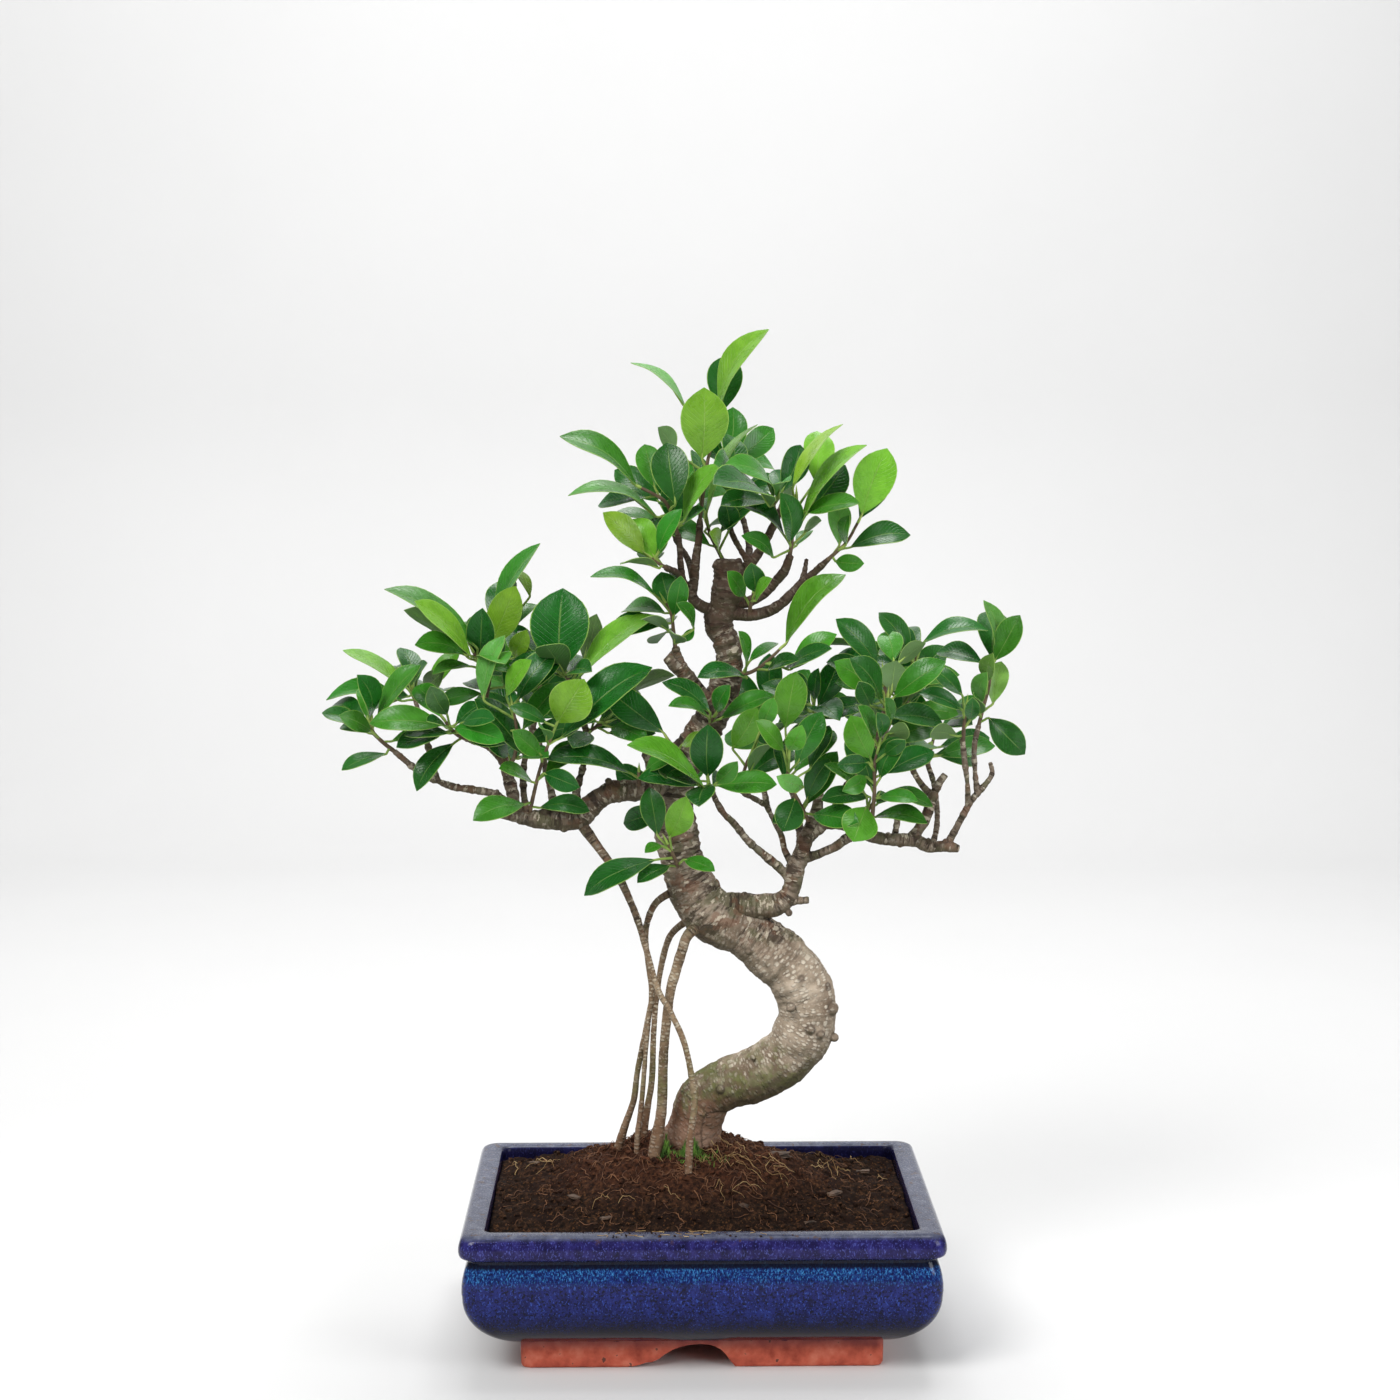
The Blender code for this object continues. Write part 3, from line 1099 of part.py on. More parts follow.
def main():
    for obj in list(bpy.data.objects):
        bpy.data.objects.remove(obj)
    home = bpy.data.collections.new("bonsai")
    bpy.context.scene.collection.children.link(home)

    glaze = material("cobalt_glaze", (0.03, 0.05, 0.30), 0.15)
    peat = material("peat_soil", (0.09, 0.05, 0.03), 0.95)
    plastic = material("screen_plastic", (0.03, 0.03, 0.03), 0.5)
    bark = material("bark", (0.30, 0.23, 0.17), 0.85)
    root_bark = material("root_bark", (0.34, 0.28, 0.20), 0.85)
    for tone, colour in LEAF_TONES.items():
        material("leaf_" + tone, colour, 0.35)

    make_pot(home, glaze)
    make_screens(home, plastic)

    clearances = {}
    wood_nodes = []
    for name, branches in WOOD.items():
        wood_nodes.append(branching(name, branches, GIRTH, list(clearances.values()), home, bark))
        clearances[name] = clearance_of(name, branches, GIRTH)
    wood_clearances = list(clearances.values())
    for name, branches in ROOTS.items():
        wood_nodes.append(branching(name, branches, ROOT_GIRTH, list(clearances.values()), home, root_bark))
        clearances[name] = clearance_of(name, branches, ROOT_GIRTH)
    into_soil = [clearances[name] for name in ("trunk", *ROOTS)]
    make_soil(into_soil, home, peat)
    make_shoots(wood_nodes, wood_clearances, home)
    for helpers in clearances.values():
        clear_helpers(helpers)

    place_at_origin(home)


def place_at_origin(home):
    """Hangs everything on one empty, whose place puts the middle of the whole box's base at the origin."""
    corners = [vert.co for obj in home.objects for vert in obj.data.vertices]
    lows, highs = box_of(corners)
    root = bpy.data.objects.new("bonsai_root", None)
    home.objects.link(root)
    for obj in home.objects:
        if obj.type == "MESH":
            obj.parent = root
    root.location = (-(lows[0] + highs[0]) / 2, -(lows[1] + highs[1]) / 2, -lows[2])


main()
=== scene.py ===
# A small-leaved ficus bonsai with an S-shaped trunk, aerial roots and a glazed pot.
# The tables are in millimetres, from the middle of the pot: x to the right, z up, y away from the front.
import json
import math
import random

import bmesh
import bpy
import numpy as np
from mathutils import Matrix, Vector, kdtree, noise

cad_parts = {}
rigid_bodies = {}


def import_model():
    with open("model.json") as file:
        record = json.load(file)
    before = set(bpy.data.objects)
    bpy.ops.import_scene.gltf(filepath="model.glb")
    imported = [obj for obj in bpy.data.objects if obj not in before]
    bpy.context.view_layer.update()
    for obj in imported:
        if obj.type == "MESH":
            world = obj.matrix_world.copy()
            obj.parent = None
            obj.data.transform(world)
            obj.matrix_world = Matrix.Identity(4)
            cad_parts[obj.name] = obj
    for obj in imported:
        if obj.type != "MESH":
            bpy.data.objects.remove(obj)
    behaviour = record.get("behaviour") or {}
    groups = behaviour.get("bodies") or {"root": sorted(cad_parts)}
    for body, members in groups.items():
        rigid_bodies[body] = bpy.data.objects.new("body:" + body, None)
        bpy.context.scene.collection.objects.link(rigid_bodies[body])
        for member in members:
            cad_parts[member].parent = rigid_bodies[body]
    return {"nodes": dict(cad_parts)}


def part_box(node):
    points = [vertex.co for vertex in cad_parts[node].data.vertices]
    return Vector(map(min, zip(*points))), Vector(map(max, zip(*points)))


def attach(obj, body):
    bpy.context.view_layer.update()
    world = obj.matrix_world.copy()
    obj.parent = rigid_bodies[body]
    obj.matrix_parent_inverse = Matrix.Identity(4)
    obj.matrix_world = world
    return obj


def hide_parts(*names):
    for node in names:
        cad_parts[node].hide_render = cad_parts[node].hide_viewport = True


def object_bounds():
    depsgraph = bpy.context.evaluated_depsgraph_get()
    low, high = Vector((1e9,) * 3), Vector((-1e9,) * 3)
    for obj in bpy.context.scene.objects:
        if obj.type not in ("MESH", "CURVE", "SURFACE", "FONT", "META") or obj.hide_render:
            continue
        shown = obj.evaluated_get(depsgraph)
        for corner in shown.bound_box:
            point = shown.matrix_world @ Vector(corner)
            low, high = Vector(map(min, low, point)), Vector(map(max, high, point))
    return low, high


for leftover in list(bpy.data.objects):
    bpy.data.objects.remove(leftover)
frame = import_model()
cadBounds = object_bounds()
potLow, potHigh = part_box("pot")
potMiddle = Vector(((potLow.x + potHigh.x) / 2, (potLow.y + potHigh.y) / 2, 0.0))
mm = 0.001

# The tree's tables give places where they show on the middle plane when looked at from here.
sight = Vector((-21.0, -1245.0, 440.0))


def at(x, z, y):
    spread = (y - sight.y) / -sight.y
    place = Vector((sight.x + (x - sight.x) * spread, y, sight.z + (z - sight.z) * spread))
    return place * mm + potMiddle


def deselectAll():
    if bpy.context.object and bpy.context.object.mode != "OBJECT":
        bpy.ops.object.mode_set(mode="OBJECT")
    bpy.ops.object.select_all(action="DESELECT")


def choose(obj):
    deselectAll()
    obj.select_set(True)
    bpy.context.view_layer.objects.active = obj


def applyModifier(obj, kind, **settings):
    choose(obj)
    change = obj.modifiers.new(kind.title(), kind)
    for setting, value in settings.items():
        setattr(change, setting, value)
    bpy.ops.object.modifier_apply(modifier=change.name)


def objectFrom(name, points, faces):
    mesh = bpy.data.meshes.new(name)
    mesh.from_pydata([tuple(point) for point in points], [], faces)
    mesh.update()
    obj = bpy.data.objects.new(name, mesh)
    bpy.context.scene.collection.objects.link(obj)
    return obj


def faceOutwards(obj):
    bm = bmesh.new()
    bm.from_mesh(obj.data)
    bmesh.ops.recalc_face_normals(bm, faces=bm.faces)
    bm.to_mesh(obj.data)
    bm.free()


def joinInto(target, others):
    choose(target)
    if not others:
        return target
    for other in others:
        other.select_set(True)
    bpy.ops.object.join()
    return target


def finishPiece(obj, slotName, *nodes):
    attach(obj, "root")
    if nodes:
        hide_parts(*nodes)


def pointArray(obj):
    points = np.empty(len(obj.data.vertices) * 3, np.float32)
    obj.data.vertices.foreach_get("co", points)
    return points.reshape(-1, 3).astype(np.float64)


def normalArray(obj):
    normals = np.empty(len(obj.data.vertices) * 3, np.float32)
    obj.data.vertices.foreach_get("normal", normals)
    return normals.reshape(-1, 3).astype(np.float64)


def setPoints(obj, points):
    obj.data.vertices.foreach_set("co", points.astype(np.float32).reshape(-1))
    obj.data.update()


def setAttribute(obj, name, kind, values):
    attribute = obj.data.attributes.new(name, kind, "POINT")
    field = {"FLOAT": "value", "FLOAT_VECTOR": "vector", "FLOAT_COLOR": "color"}[kind]
    attribute.data.foreach_set(field, np.asarray(values, np.float32).reshape(-1))


def turnedAboutZ(angle):
    beside, ahead = math.cos(angle), math.sin(angle)
    return np.array([[beside, -ahead, 0], [ahead, beside, 0], [0, 0, 1]])


def smoothPath(points, spacing):
    # A smooth curve through rows of numbers, the first three being a place, at an even spacing.
    rows = np.array(points, float)
    ends = np.vstack([2 * rows[0] - rows[1], rows, 2 * rows[-1] - rows[-2]])
    found = []
    for index in range(1, len(ends) - 2):
        before, start, end, after = ends[index - 1: index + 3]
        length = np.linalg.norm((end - start)[:3])
        steps = max(1, int(round(length / spacing)))
        for share in np.arange(steps) / steps:
            square, cube = share**2, share**3
            found.append(0.5 * (2 * start + (end - before) * share
                                + (2 * before - 5 * start + 4 * end - after) * square
                                + (3 * start - before - 3 * end + after) * cube))
    found.append(rows[-1])
    return np.array(found)


def tubeAlong(name, path, resolution=3):
    # path holds x, y, z and radius in metres
    data = bpy.data.curves.new(name, "CURVE")
    data.dimensions = "3D"
    data.bevel_depth = 1.0
    data.bevel_resolution = resolution
    data.use_fill_caps = True
    spline = data.splines.new("POLY")
    spline.points.add(len(path) - 1)
    for point, row in zip(spline.points, path):
        point.co = (row[0], row[1], row[2], 1.0)
        point.radius = row[3]
    obj = bpy.data.objects.new(name, data)
    bpy.context.scene.collection.objects.link(obj)
    choose(obj)
    bpy.ops.object.convert(target="MESH")
    return bpy.context.object


# Materials

def newMaterial(name):
    made = bpy.data.materials.new(name)
    made.use_nodes = True
    return made, made.node_tree, made.node_tree.nodes["Principled BSDF"]


def addNode(tree, kind, inputs=None, **settings):
    node = tree.nodes.new("ShaderNode" + kind)
    for setting, value in settings.items():
        setattr(node, setting, value)
    for key, value in (inputs or {}).items():
        if isinstance(value, bpy.types.NodeSocket):
            tree.links.new(value, node.inputs[key])
        else:
            node.inputs[key].default_value = value
    return node


def noiseOf(tree, vector, scale, detail=4.0, roughness=0.55):
    inputs = {"Vector": vector, "Scale": scale, "Detail": detail, "Roughness": roughness}
    return addNode(tree, "TexNoise", inputs).outputs["Fac"]


def stretched(tree, vector, scale):
    return addNode(tree, "Mapping", {"Vector": vector, "Scale": scale}).outputs["Vector"]


def ramp(tree, factor, *stops):
    node = addNode(tree, "ValToRGB", {"Fac": factor})
    elements = node.color_ramp.elements
    while len(elements) < len(stops):
        elements.new(0.5)
    for element, (place, colour) in zip(elements, stops):
        element.position = place
        element.color = (*colour, 1.0)
    return node.outputs["Color"]


def step(tree, factor, low, high):
    # 0 under low, 1 over high, and smooth between
    node = addNode(tree, "MapRange", {"Value": factor, "From Min": low, "From Max": high})
    node.interpolation_type = "SMOOTHSTEP"
    return node.outputs["Result"]


def mixed(tree, factor, first, second, blend="MIX"):
    node = addNode(tree, "Mix", data_type="RGBA", blend_type=blend)
    for key, value in ((0, factor), (6, first), (7, second)):
        if isinstance(value, bpy.types.NodeSocket):
            tree.links.new(value, node.inputs[key])
        elif key == 0:
            node.inputs[0].default_value = value
        else:
            node.inputs[key].default_value = (*value, 1.0)
    return node.outputs[2]


def reckon(tree, operation, first, second=0.0):
    node = addNode(tree, "Math", operation=operation)
    for key, value in ((0, first), (1, second)):
        if isinstance(value, bpy.types.NodeSocket):
            tree.links.new(value, node.inputs[key])
        else:
            node.inputs[key].default_value = value
    return node.outputs["Value"]


def product(tree, first, *others):
    for other in others:
        first = reckon(tree, "MULTIPLY", first, other)
    return first


def over(tree, colour, other, *masks):
    # the other colour laid over the first one where all the masks are 1
    return mixed(tree, product(tree, *masks), colour, other)


def patchesOf(tree, vector, scale, detail, low, high):
    # patches of noise, 1 where it is above high and 0 where it is below low
    return step(tree, noiseOf(tree, vector, scale, detail), low, high)


def bumpOf(tree, shader, height, distance, strength=1.0):
    node = addNode(tree, "Bump", {"Height": height, "Distance": distance, "Strength": strength})
    tree.links.new(node.outputs["Normal"], shader.inputs["Normal"])


def objectPlace(tree):
    return addNode(tree, "TexCoord").outputs["Object"]


def attributeOf(tree, name, output="Vector"):
    return addNode(tree, "Attribute", attribute_name=name).outputs[output]


def upward(tree):
    # how far a surface looks up: 1 on top, -1 underneath
    node = addNode(tree, "NewGeometry")
    return addNode(tree, "SeparateXYZ", {"Vector": node.outputs["Normal"]}).outputs["Z"]


# Camera, floor and light

stageSizes = {
    "cameraPlace": (-0.0212, -1.2448, 0.44), "cameraTurn": 0.017, "cameraPitch": 0.1, "lens": 65.57,
    "floorSide": 7.0, "wallPlace": 1.9, "wallHeight": 4.0, "wallBend": 0.5,
    "floorColour": (0.72, 0.72, 0.72), "skyStrength": 0.20, "sensor": 36.0, "reach": 50.0,
}
# where each lamp is, its size, its power, its colour and what it points at
treeMiddle, wallMiddle = (0.0, 0.0, 0.24), (0.0, stageSizes["wallPlace"], 0.5)
lamps = {
    "keyLight": ((-1.1, -1.5, 1.9), 1.1, 50.0, (1.0, 0.995, 0.985), treeMiddle),
    "fillLight": ((1.6, -1.3, 1.1), 1.1, 23.0, (0.98, 0.99, 1.0), treeMiddle),
    "topLight": ((0.1, 0.5, 2.1), 1.0, 21.0, (1.0, 1.0, 1.0), treeMiddle),
    "wallLight": ((0.0, 0.9, 2.3), 1.2, 17.0, (1.0, 1.0, 1.0), wallMiddle),
}


def makeStage():
    camera = bpy.data.objects.new("camera", bpy.data.cameras.new("camera"))
    bpy.context.scene.collection.objects.link(camera)
    camera.location = Vector(stageSizes["cameraPlace"]) + potMiddle
    camera.rotation_euler = (math.pi / 2 - stageSizes["cameraPitch"], 0.0, -stageSizes["cameraTurn"])
    camera.data.lens = stageSizes["lens"]
    camera.data.sensor_width = stageSizes["sensor"]
    camera.data.clip_end = stageSizes["reach"]
    bpy.context.scene.camera = camera
    bpy.context.scene.view_settings.view_transform = "Standard"

    deselectAll()
    side = stageSizes["floorSide"]
    middleY = stageSizes["wallPlace"] - side / 2
    bpy.ops.mesh.primitive_plane_add(size=side, location=(0, middleY, 0))
    floor = bpy.context.object
    floor.name = "floor"
    bpy.ops.object.transform_apply(location=True, rotation=True, scale=True)
    bm = bmesh.new()
    bm.from_mesh(floor.data)
    back = [edge for edge in bm.edges if min(vert.co.y for vert in edge.verts) > stageSizes["wallPlace"] - mm]
    risen = bmesh.ops.extrude_edge_only(bm, edges=back)
    for item in risen["geom"]:
        if isinstance(item, bmesh.types.BMVert):
            item.co.z = stageSizes["wallHeight"]
    corner = [edge for edge in bm.edges if len(edge.link_faces) == 2]
    bmesh.ops.bevel(bm, geom=corner, offset=stageSizes["wallBend"], segments=16, affect="EDGES", profile=0.5)
    bm.to_mesh(floor.data)
    bm.free()
    choose(floor)
    bpy.ops.object.shade_smooth()
    looks, tree, shader = newMaterial("paleFloor")
    cloudy = noiseOf(tree, objectPlace(tree), 3.0)
    pale = stageSizes["floorColour"]
    tone = ramp(tree, cloudy, (0.35, tuple(0.985 * part for part in pale)), (0.65, pale))
    tree.links.new(tone, shader.inputs["Base Color"])
    shader.inputs["Roughness"].default_value = 0.6
    floor.data.materials.append(looks)

    world = bpy.data.worlds.new("studio")
    bpy.context.scene.world = world
    world.use_nodes = True
    sky = world.node_tree.nodes["Background"]
    sky.inputs["Color"].default_value = (1.0, 1.0, 1.0, 1.0)
    sky.inputs["Strength"].default_value = stageSizes["skyStrength"]

    for name, (place, size, power, colour, aim) in lamps.items():
        lamp = bpy.data.objects.new(name, bpy.data.lights.new(name, "AREA"))
        bpy.context.scene.collection.objects.link(lamp)
        lamp.data.shape = "SQUARE"
        lamp.data.size = size
        lamp.data.energy = power
        lamp.data.color = colour
        lamp.location = Vector(place) + potMiddle
        lamp.rotation_euler = (Vector(aim) + potMiddle - lamp.location).to_track_quat("-Z", "Y").to_euler()
    print("stage ready")


# Pot

potSizes = {
    "halfWidth": (potHigh.x - potLow.x) / 2 / mm, "halfDepth": (potHigh.y - potLow.y) / 2 / mm,
    "height": potHigh.z / mm, "corner": 7.0, "rimHeight": 12.0, "rimWidth": 12.5,
    "footHeight": 13.0, "footInsetX": 28.0, "footInsetY": 23.0, "footWall": 11.0, "footHollow": 9.0,
    "floorTop": 17.0, "cavityRound": 18.0, "cavityInset": 20.0, "drainHole": 16.0, "drainSpacing": 104.0,
    "bellyAcross": 34.0, "bellyRise": 28.0, "bellyStart": 0.225,
}


def potProfile():
    # (inset from the pot's outer outline, height), from the recess under the floor to the belly, and then
    # on from the belly to the inner floor
    size = potSizes
    foot, wall, top = size["footInsetX"], size["footWall"], size["height"]
    under = size["footHeight"]
    rows = [(foot + wall, size["footHollow"]), (foot + wall - 0.6, 1.2), (foot + wall - 1.6, 0.0)]
    rows += [(foot + 1.8, 0.0), (foot + 0.7, 0.6), (foot + 0.2, 1.8), (foot, 6.0), (foot, under - 0.4)]
    neckTop = top - size["rimHeight"] - 2.2
    across, rise, first = size["bellyAcross"], size["bellyRise"], size["bellyStart"]
    for turn in range(15):
        angle = first + (math.pi / 2 - first) * turn / 14
        rows.append((across + 1.6 - across * math.sin(angle), under - 0.2 + rise * (1.0 - math.cos(angle))))
    below, rows = rows, []
    rows += [(1.3, 43.0), (1.4, 46.5), (1.9, 50.0), (2.6, 53.0), (3.3, 54.9)]
    rows += [(4.0, neckTop), (4.2, neckTop + 0.9), (3.8, neckTop + 1.8), (2.6, neckTop + 2.4)]
    rim = top - size["rimHeight"]
    rows += [(1.5, rim + 0.8), (0.7, rim + 1.5), (0.2, rim + 2.8), (0.0, rim + 4.4), (0.1, rim + 6.2)]
    rows += [(0.5, top - 4.0), (1.1, top - 2.4), (2.1, top - 1.15), (3.4, top - 0.35), (5.0, top)]
    rows += [(size["rimWidth"] - 2.2, top - 0.1)]
    rows += [(size["rimWidth"] - 0.9, top - 0.5), (size["rimWidth"] - 0.2, top - 1.5)]
    rows += [(size["rimWidth"], top - 4.0), (size["rimWidth"] + 0.3, size["floorTop"] + size["cavityRound"])]
    for turn in range(1, 7):
        angle = math.pi / 2 * turn / 6
        inward = size["cavityInset"] * (1.0 - math.cos(angle))
        rows.append((size["rimWidth"] + 0.3 + inward,
                     size["floorTop"] + size["cavityRound"] * (1.0 - math.sin(angle))))
    return below, rows


def potRing(inset, height, narrower=1.0):
    # one course of the pot: a rectangle with round corners
    size = potSizes
    halfX, halfY = size["halfWidth"] - inset, size["halfDepth"] - inset * narrower
    radius = max(2.5, size["corner"] - 0.12 * inset)
    points = []
    for cornerX, cornerY, first in ((1, 1, 0), (-1, 1, 1), (-1, -1, 2), (1, -1, 3)):
        for part in range(9):
            angle = (first + part / 8) * math.pi / 2
            points.append(Vector((cornerX * (halfX - radius) + radius * math.cos(angle),
                                  cornerY * (halfY - radius) + radius * math.sin(angle), height)))
    spaced = []
    for index, point in enumerate(points):
        spaced.append(point)
        if index % 9 == 8:
            after = points[(index + 1) % len(points)]
            spaced += [point.lerp(after, share / 14) for share in range(1, 14)]
    return spaced


def makePot():
    below, above = potProfile()
    narrower = potSizes["footInsetY"] / potSizes["footInsetX"]
    rings = [potRing(*row, narrower) for row in below] + [potRing(*row) for row in above]
    count = len(rings[0])
    points = [point * mm + potMiddle for ring in rings for point in ring]
    faces = [tuple(range(count))]
    for ring in range(len(rings) - 1):
        for index in range(count):
            after = (index + 1) % count
            low = ring * count
            faces.append((low + index, low + count + index, low + count + after, low + after))
    faces.append(tuple(reversed(range(len(points) - count, len(points)))))
    pot = objectFrom("glazed_pot", points, faces)
    faceOutwards(pot)

    # the chipped arch at the front of the foot, the plain one at the back, and the drain holes
    size = potSizes
    frontY, backY = -size["halfDepth"] + size["footInsetY"], size["halfDepth"] - size["footInsetY"]
    frontArch = [(-35, -2), (-35, 0.2), (-31, 1.2), (-27, 2.6), (-24, 2.9), (-21, 4.2), (-18, 6.6),
                 (-14, 9.0), (-10, 10.4), (-6, 11.3), (-1, 11.7), (3, 11.4), (6, 10.5), (9, 8.9),
                 (11.5, 6.2), (13, 4), (14.4, 2.2), (16, 0.2), (16, -2)]
    backArch = [(-22, -2), (-22, 0.2), (-18, 4), (-13, 8), (-7, 10.5), (0, 11.4), (7, 10.5), (13, 8), (18, 4),
                (22, 0.2), (22, -2)]
    cutters = []
    for outline, place in ((frontArch, frontY), (backArch, backY)):
        near = [Vector((x, place - 6.0, z)) * mm + potMiddle for x, z in outline]
        far = [point + Vector((0, size["footWall"] + 12.0, 0)) * mm for point in near]
        number = len(outline)
        walls = [tuple(range(number)), tuple(reversed(range(number, 2 * number)))]
        for index in range(number):
            after = (index + 1) % number
            walls.append((index, index + number, after + number, after))
        cutter = objectFrom("archCutter", near + far, walls)
        faceOutwards(cutter)
        cutters.append(cutter)
    for side in (-1, 1):
        deselectAll()
        bpy.ops.mesh.primitive_cylinder_add(
            vertices=40, radius=size["drainHole"] / 2 * mm, depth=0.03,
            location=potMiddle + Vector((side * size["drainSpacing"] / 2, 0, size["floorTop"] - 4)) * mm)
        cutters.append(bpy.context.object)
    for cutter in cutters:
        applyModifier(pot, "BOOLEAN", operation="DIFFERENCE", solver="EXACT", object=cutter)
        bpy.data.objects.remove(cutter)
    choose(pot)
    bpy.ops.object.shade_smooth_by_angle(angle=math.radians(38))
    pot.data.materials.append(glazeLooks())
    finishPiece(pot, "glaze", "pot")
    print("pot ready")


def glazeLooks():
    made, tree, shader = newMaterial("cobaltGlaze")
    place = objectPlace(tree)
    parts = addNode(tree, "SeparateXYZ", {"Vector": place})
    height = product(tree, parts.outputs["Z"], 1000.0)
    fine = noiseOf(tree, place, 900.0, 3.0, 0.6)
    speck = noiseOf(tree, stretched(tree, place, (1.0, 1.0, 0.45)), 1500.0, 2.0, 0.7)
    broad = noiseOf(tree, place, 45.0, 3.0)
    cloudy = noiseOf(tree, stretched(tree, place, (1.0, 1.0, 0.6)), 190.0, 5.0, 0.65)

    # the mottled body of the glaze
    body = ramp(tree, cloudy, (0.30, (0.005, 0.006, 0.040)), (0.46, (0.008, 0.011, 0.085)),
                (0.60, (0.012, 0.018, 0.125)), (0.76, (0.018, 0.032, 0.19)))
    body = over(tree, body, (0.030, 0.065, 0.33), step(tree, speck, 0.57, 0.66))
    body = over(tree, body, (0.004, 0.004, 0.018), step(tree, fine, 0.52, 0.60))

    # bright crystals where the glaze ran thick just under the groove
    wavering = reckon(tree, "ADD", height, product(tree, reckon(tree, "SUBTRACT", broad, 0.5), 9.0))
    crystal = ramp(tree, speck, (0.42, (0.005, 0.010, 0.05)), (0.54, (0.012, 0.05, 0.22)),
                   (0.68, (0.05, 0.27, 0.50)))
    body = over(tree, body, crystal, step(tree, wavering, 45.0, 54.5), 0.8)

    # painted shade: darker where the belly turns under towards the foot, and nearly black in the groove
    body = over(tree, body, (0.005, 0.004, 0.007), step(tree, wavering, 36.0, 20.0), 0.93)
    groove = product(tree, step(tree, height, 54.2, 55.8), step(tree, height, 60.2, 58.9))
    body = over(tree, body, (0.004, 0.004, 0.012), groove, 0.93)

    # the rim's face is a purple blue, and its top is thin, pale and greyish
    purple = ramp(tree, cloudy, (0.32, (0.006, 0.005, 0.022)), (0.5, (0.014, 0.011, 0.070)),
                  (0.68, (0.028, 0.026, 0.15)))
    purple = over(tree, purple, (0.06, 0.07, 0.28), step(tree, speck, 0.56, 0.66))
    body = over(tree, body, purple, step(tree, height, 58.8, 60.0))
    top = product(tree, step(tree, upward(tree), 0.5, 0.95), step(tree, height, 67.0, 69.0))
    paleTop = ramp(tree, cloudy, (0.3, (0.035, 0.042, 0.080)), (0.55, (0.080, 0.090, 0.135)),
                   (0.75, (0.16, 0.175, 0.21)))
    body = over(tree, body, paleTop, top, 0.9)
    brown = product(tree, step(tree, height, 66.5, 70.0), patchesOf(tree, place, 260.0, 4.0, 0.60, 0.68))
    body = over(tree, body, (0.07, 0.035, 0.022), brown, 0.75)

    # painted shade on the inner wall, darker inside the rim
    inside = []
    for axis, middle, side in (("X", potMiddle.x, "halfWidth"), ("Y", potMiddle.y, "halfDepth")):
        across = reckon(tree, "ABSOLUTE", reckon(tree, "SUBTRACT", parts.outputs[axis], middle))
        wall = (potSizes[side] - potSizes["rimWidth"]) * mm
        inside.append(step(tree, across, wall + 0.0012, wall + 0.0002))
    body = over(tree, body, (0.006, 0.006, 0.022), *inside, 0.7)

    # bare clay foot, with a ragged glaze line
    clay = ramp(tree, noiseOf(tree, place, 120.0, 5.0), (0.3, (0.30, 0.050, 0.030)),
                (0.5, (0.52, 0.105, 0.060)), (0.72, (0.66, 0.20, 0.125)))
    # painted shade on the top of the foot, under the overhang of the belly
    clay = over(tree, clay, (0.13, 0.045, 0.06), step(tree, height, 8.0, 13.5), 0.55)
    pits = step(tree, noiseOf(tree, place, 240.0, 3.0, 0.6), 0.665, 0.695)
    clay = over(tree, clay, (0.05, 0.03, 0.025), pits, 0.85)
    ragged = reckon(tree, "ADD", height, product(tree, reckon(tree, "SUBTRACT", cloudy, 0.5), 2.4))
    bare = step(tree, ragged, 13.9, 13.1)
    tree.links.new(over(tree, body, clay, bare), shader.inputs["Base Color"])

    scratches = patchesOf(tree, stretched(tree, place, (20.0, 6.0, 900.0)), 1.0, 2.0, 0.68, 0.72)
    rough = reckon(tree, "ADD", 0.07, product(tree, step(tree, fine, 0.5, 0.68), 0.08))
    for mask, rougher in ((top, 0.16), (scratches, 0.25), (bare, 0.42)):
        rough = reckon(tree, "ADD", rough, product(tree, mask, rougher))
    tree.links.new(rough, shader.inputs["Roughness"])
    shader.inputs["IOR"].default_value = 1.5
    shader.inputs["Specular IOR Level"].default_value = 0.2
    relief = reckon(tree, "ADD", product(tree, cloudy, 0.6), product(tree, fine, 0.4))
    bumpOf(tree, shader, relief, 0.0005, 0.22)
    return made


# Soil

soilLow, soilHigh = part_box("soil")
soilSizes = {
    "level": potHigh.z / mm - 7.0, "mound": 33.0, "moundPlace": (-8.0, 8.0), "moundSpread": (48.0, 38.0),
    "halfX": (soilHigh.x - soilLow.x) / 2 / mm, "halfY": (soilHigh.y - soilLow.y) / 2 / mm,
    "gap": 0.2, "depth": 12.0, "columns": 190, "rows": 136, "crumbs": 1700, "fibres": 620, "seed": 11,
}


def soilHeight(x, y):
    reachX = (x - soilSizes["moundPlace"][0]) / soilSizes["moundSpread"][0]
    reachY = (y - soilSizes["moundPlace"][1]) / soilSizes["moundSpread"][1]
    heap = soilSizes["mound"] * math.exp(-(reachX**2 + reachY**2) / 2)
    place = Vector((x, y, 0.0))
    lumps = 3.0 * noise.noise(place / 17) + 2.3 * noise.noise(place / 7) + 1.8 * noise.noise(place / 3.1)
    grit = 1.3 * max(0.0, noise.noise(place / 1.6)) + 0.5 * noise.noise(place / 0.9)
    edge = max(abs(x) / soilSizes["halfX"], abs(y) / soilSizes["halfY"])
    calm = 1.0 - 0.5 * max(0.0, edge - 0.9) / 0.1
    return soilSizes["level"] - 0.8 + heap * 0.96 + (lumps + grit) * calm


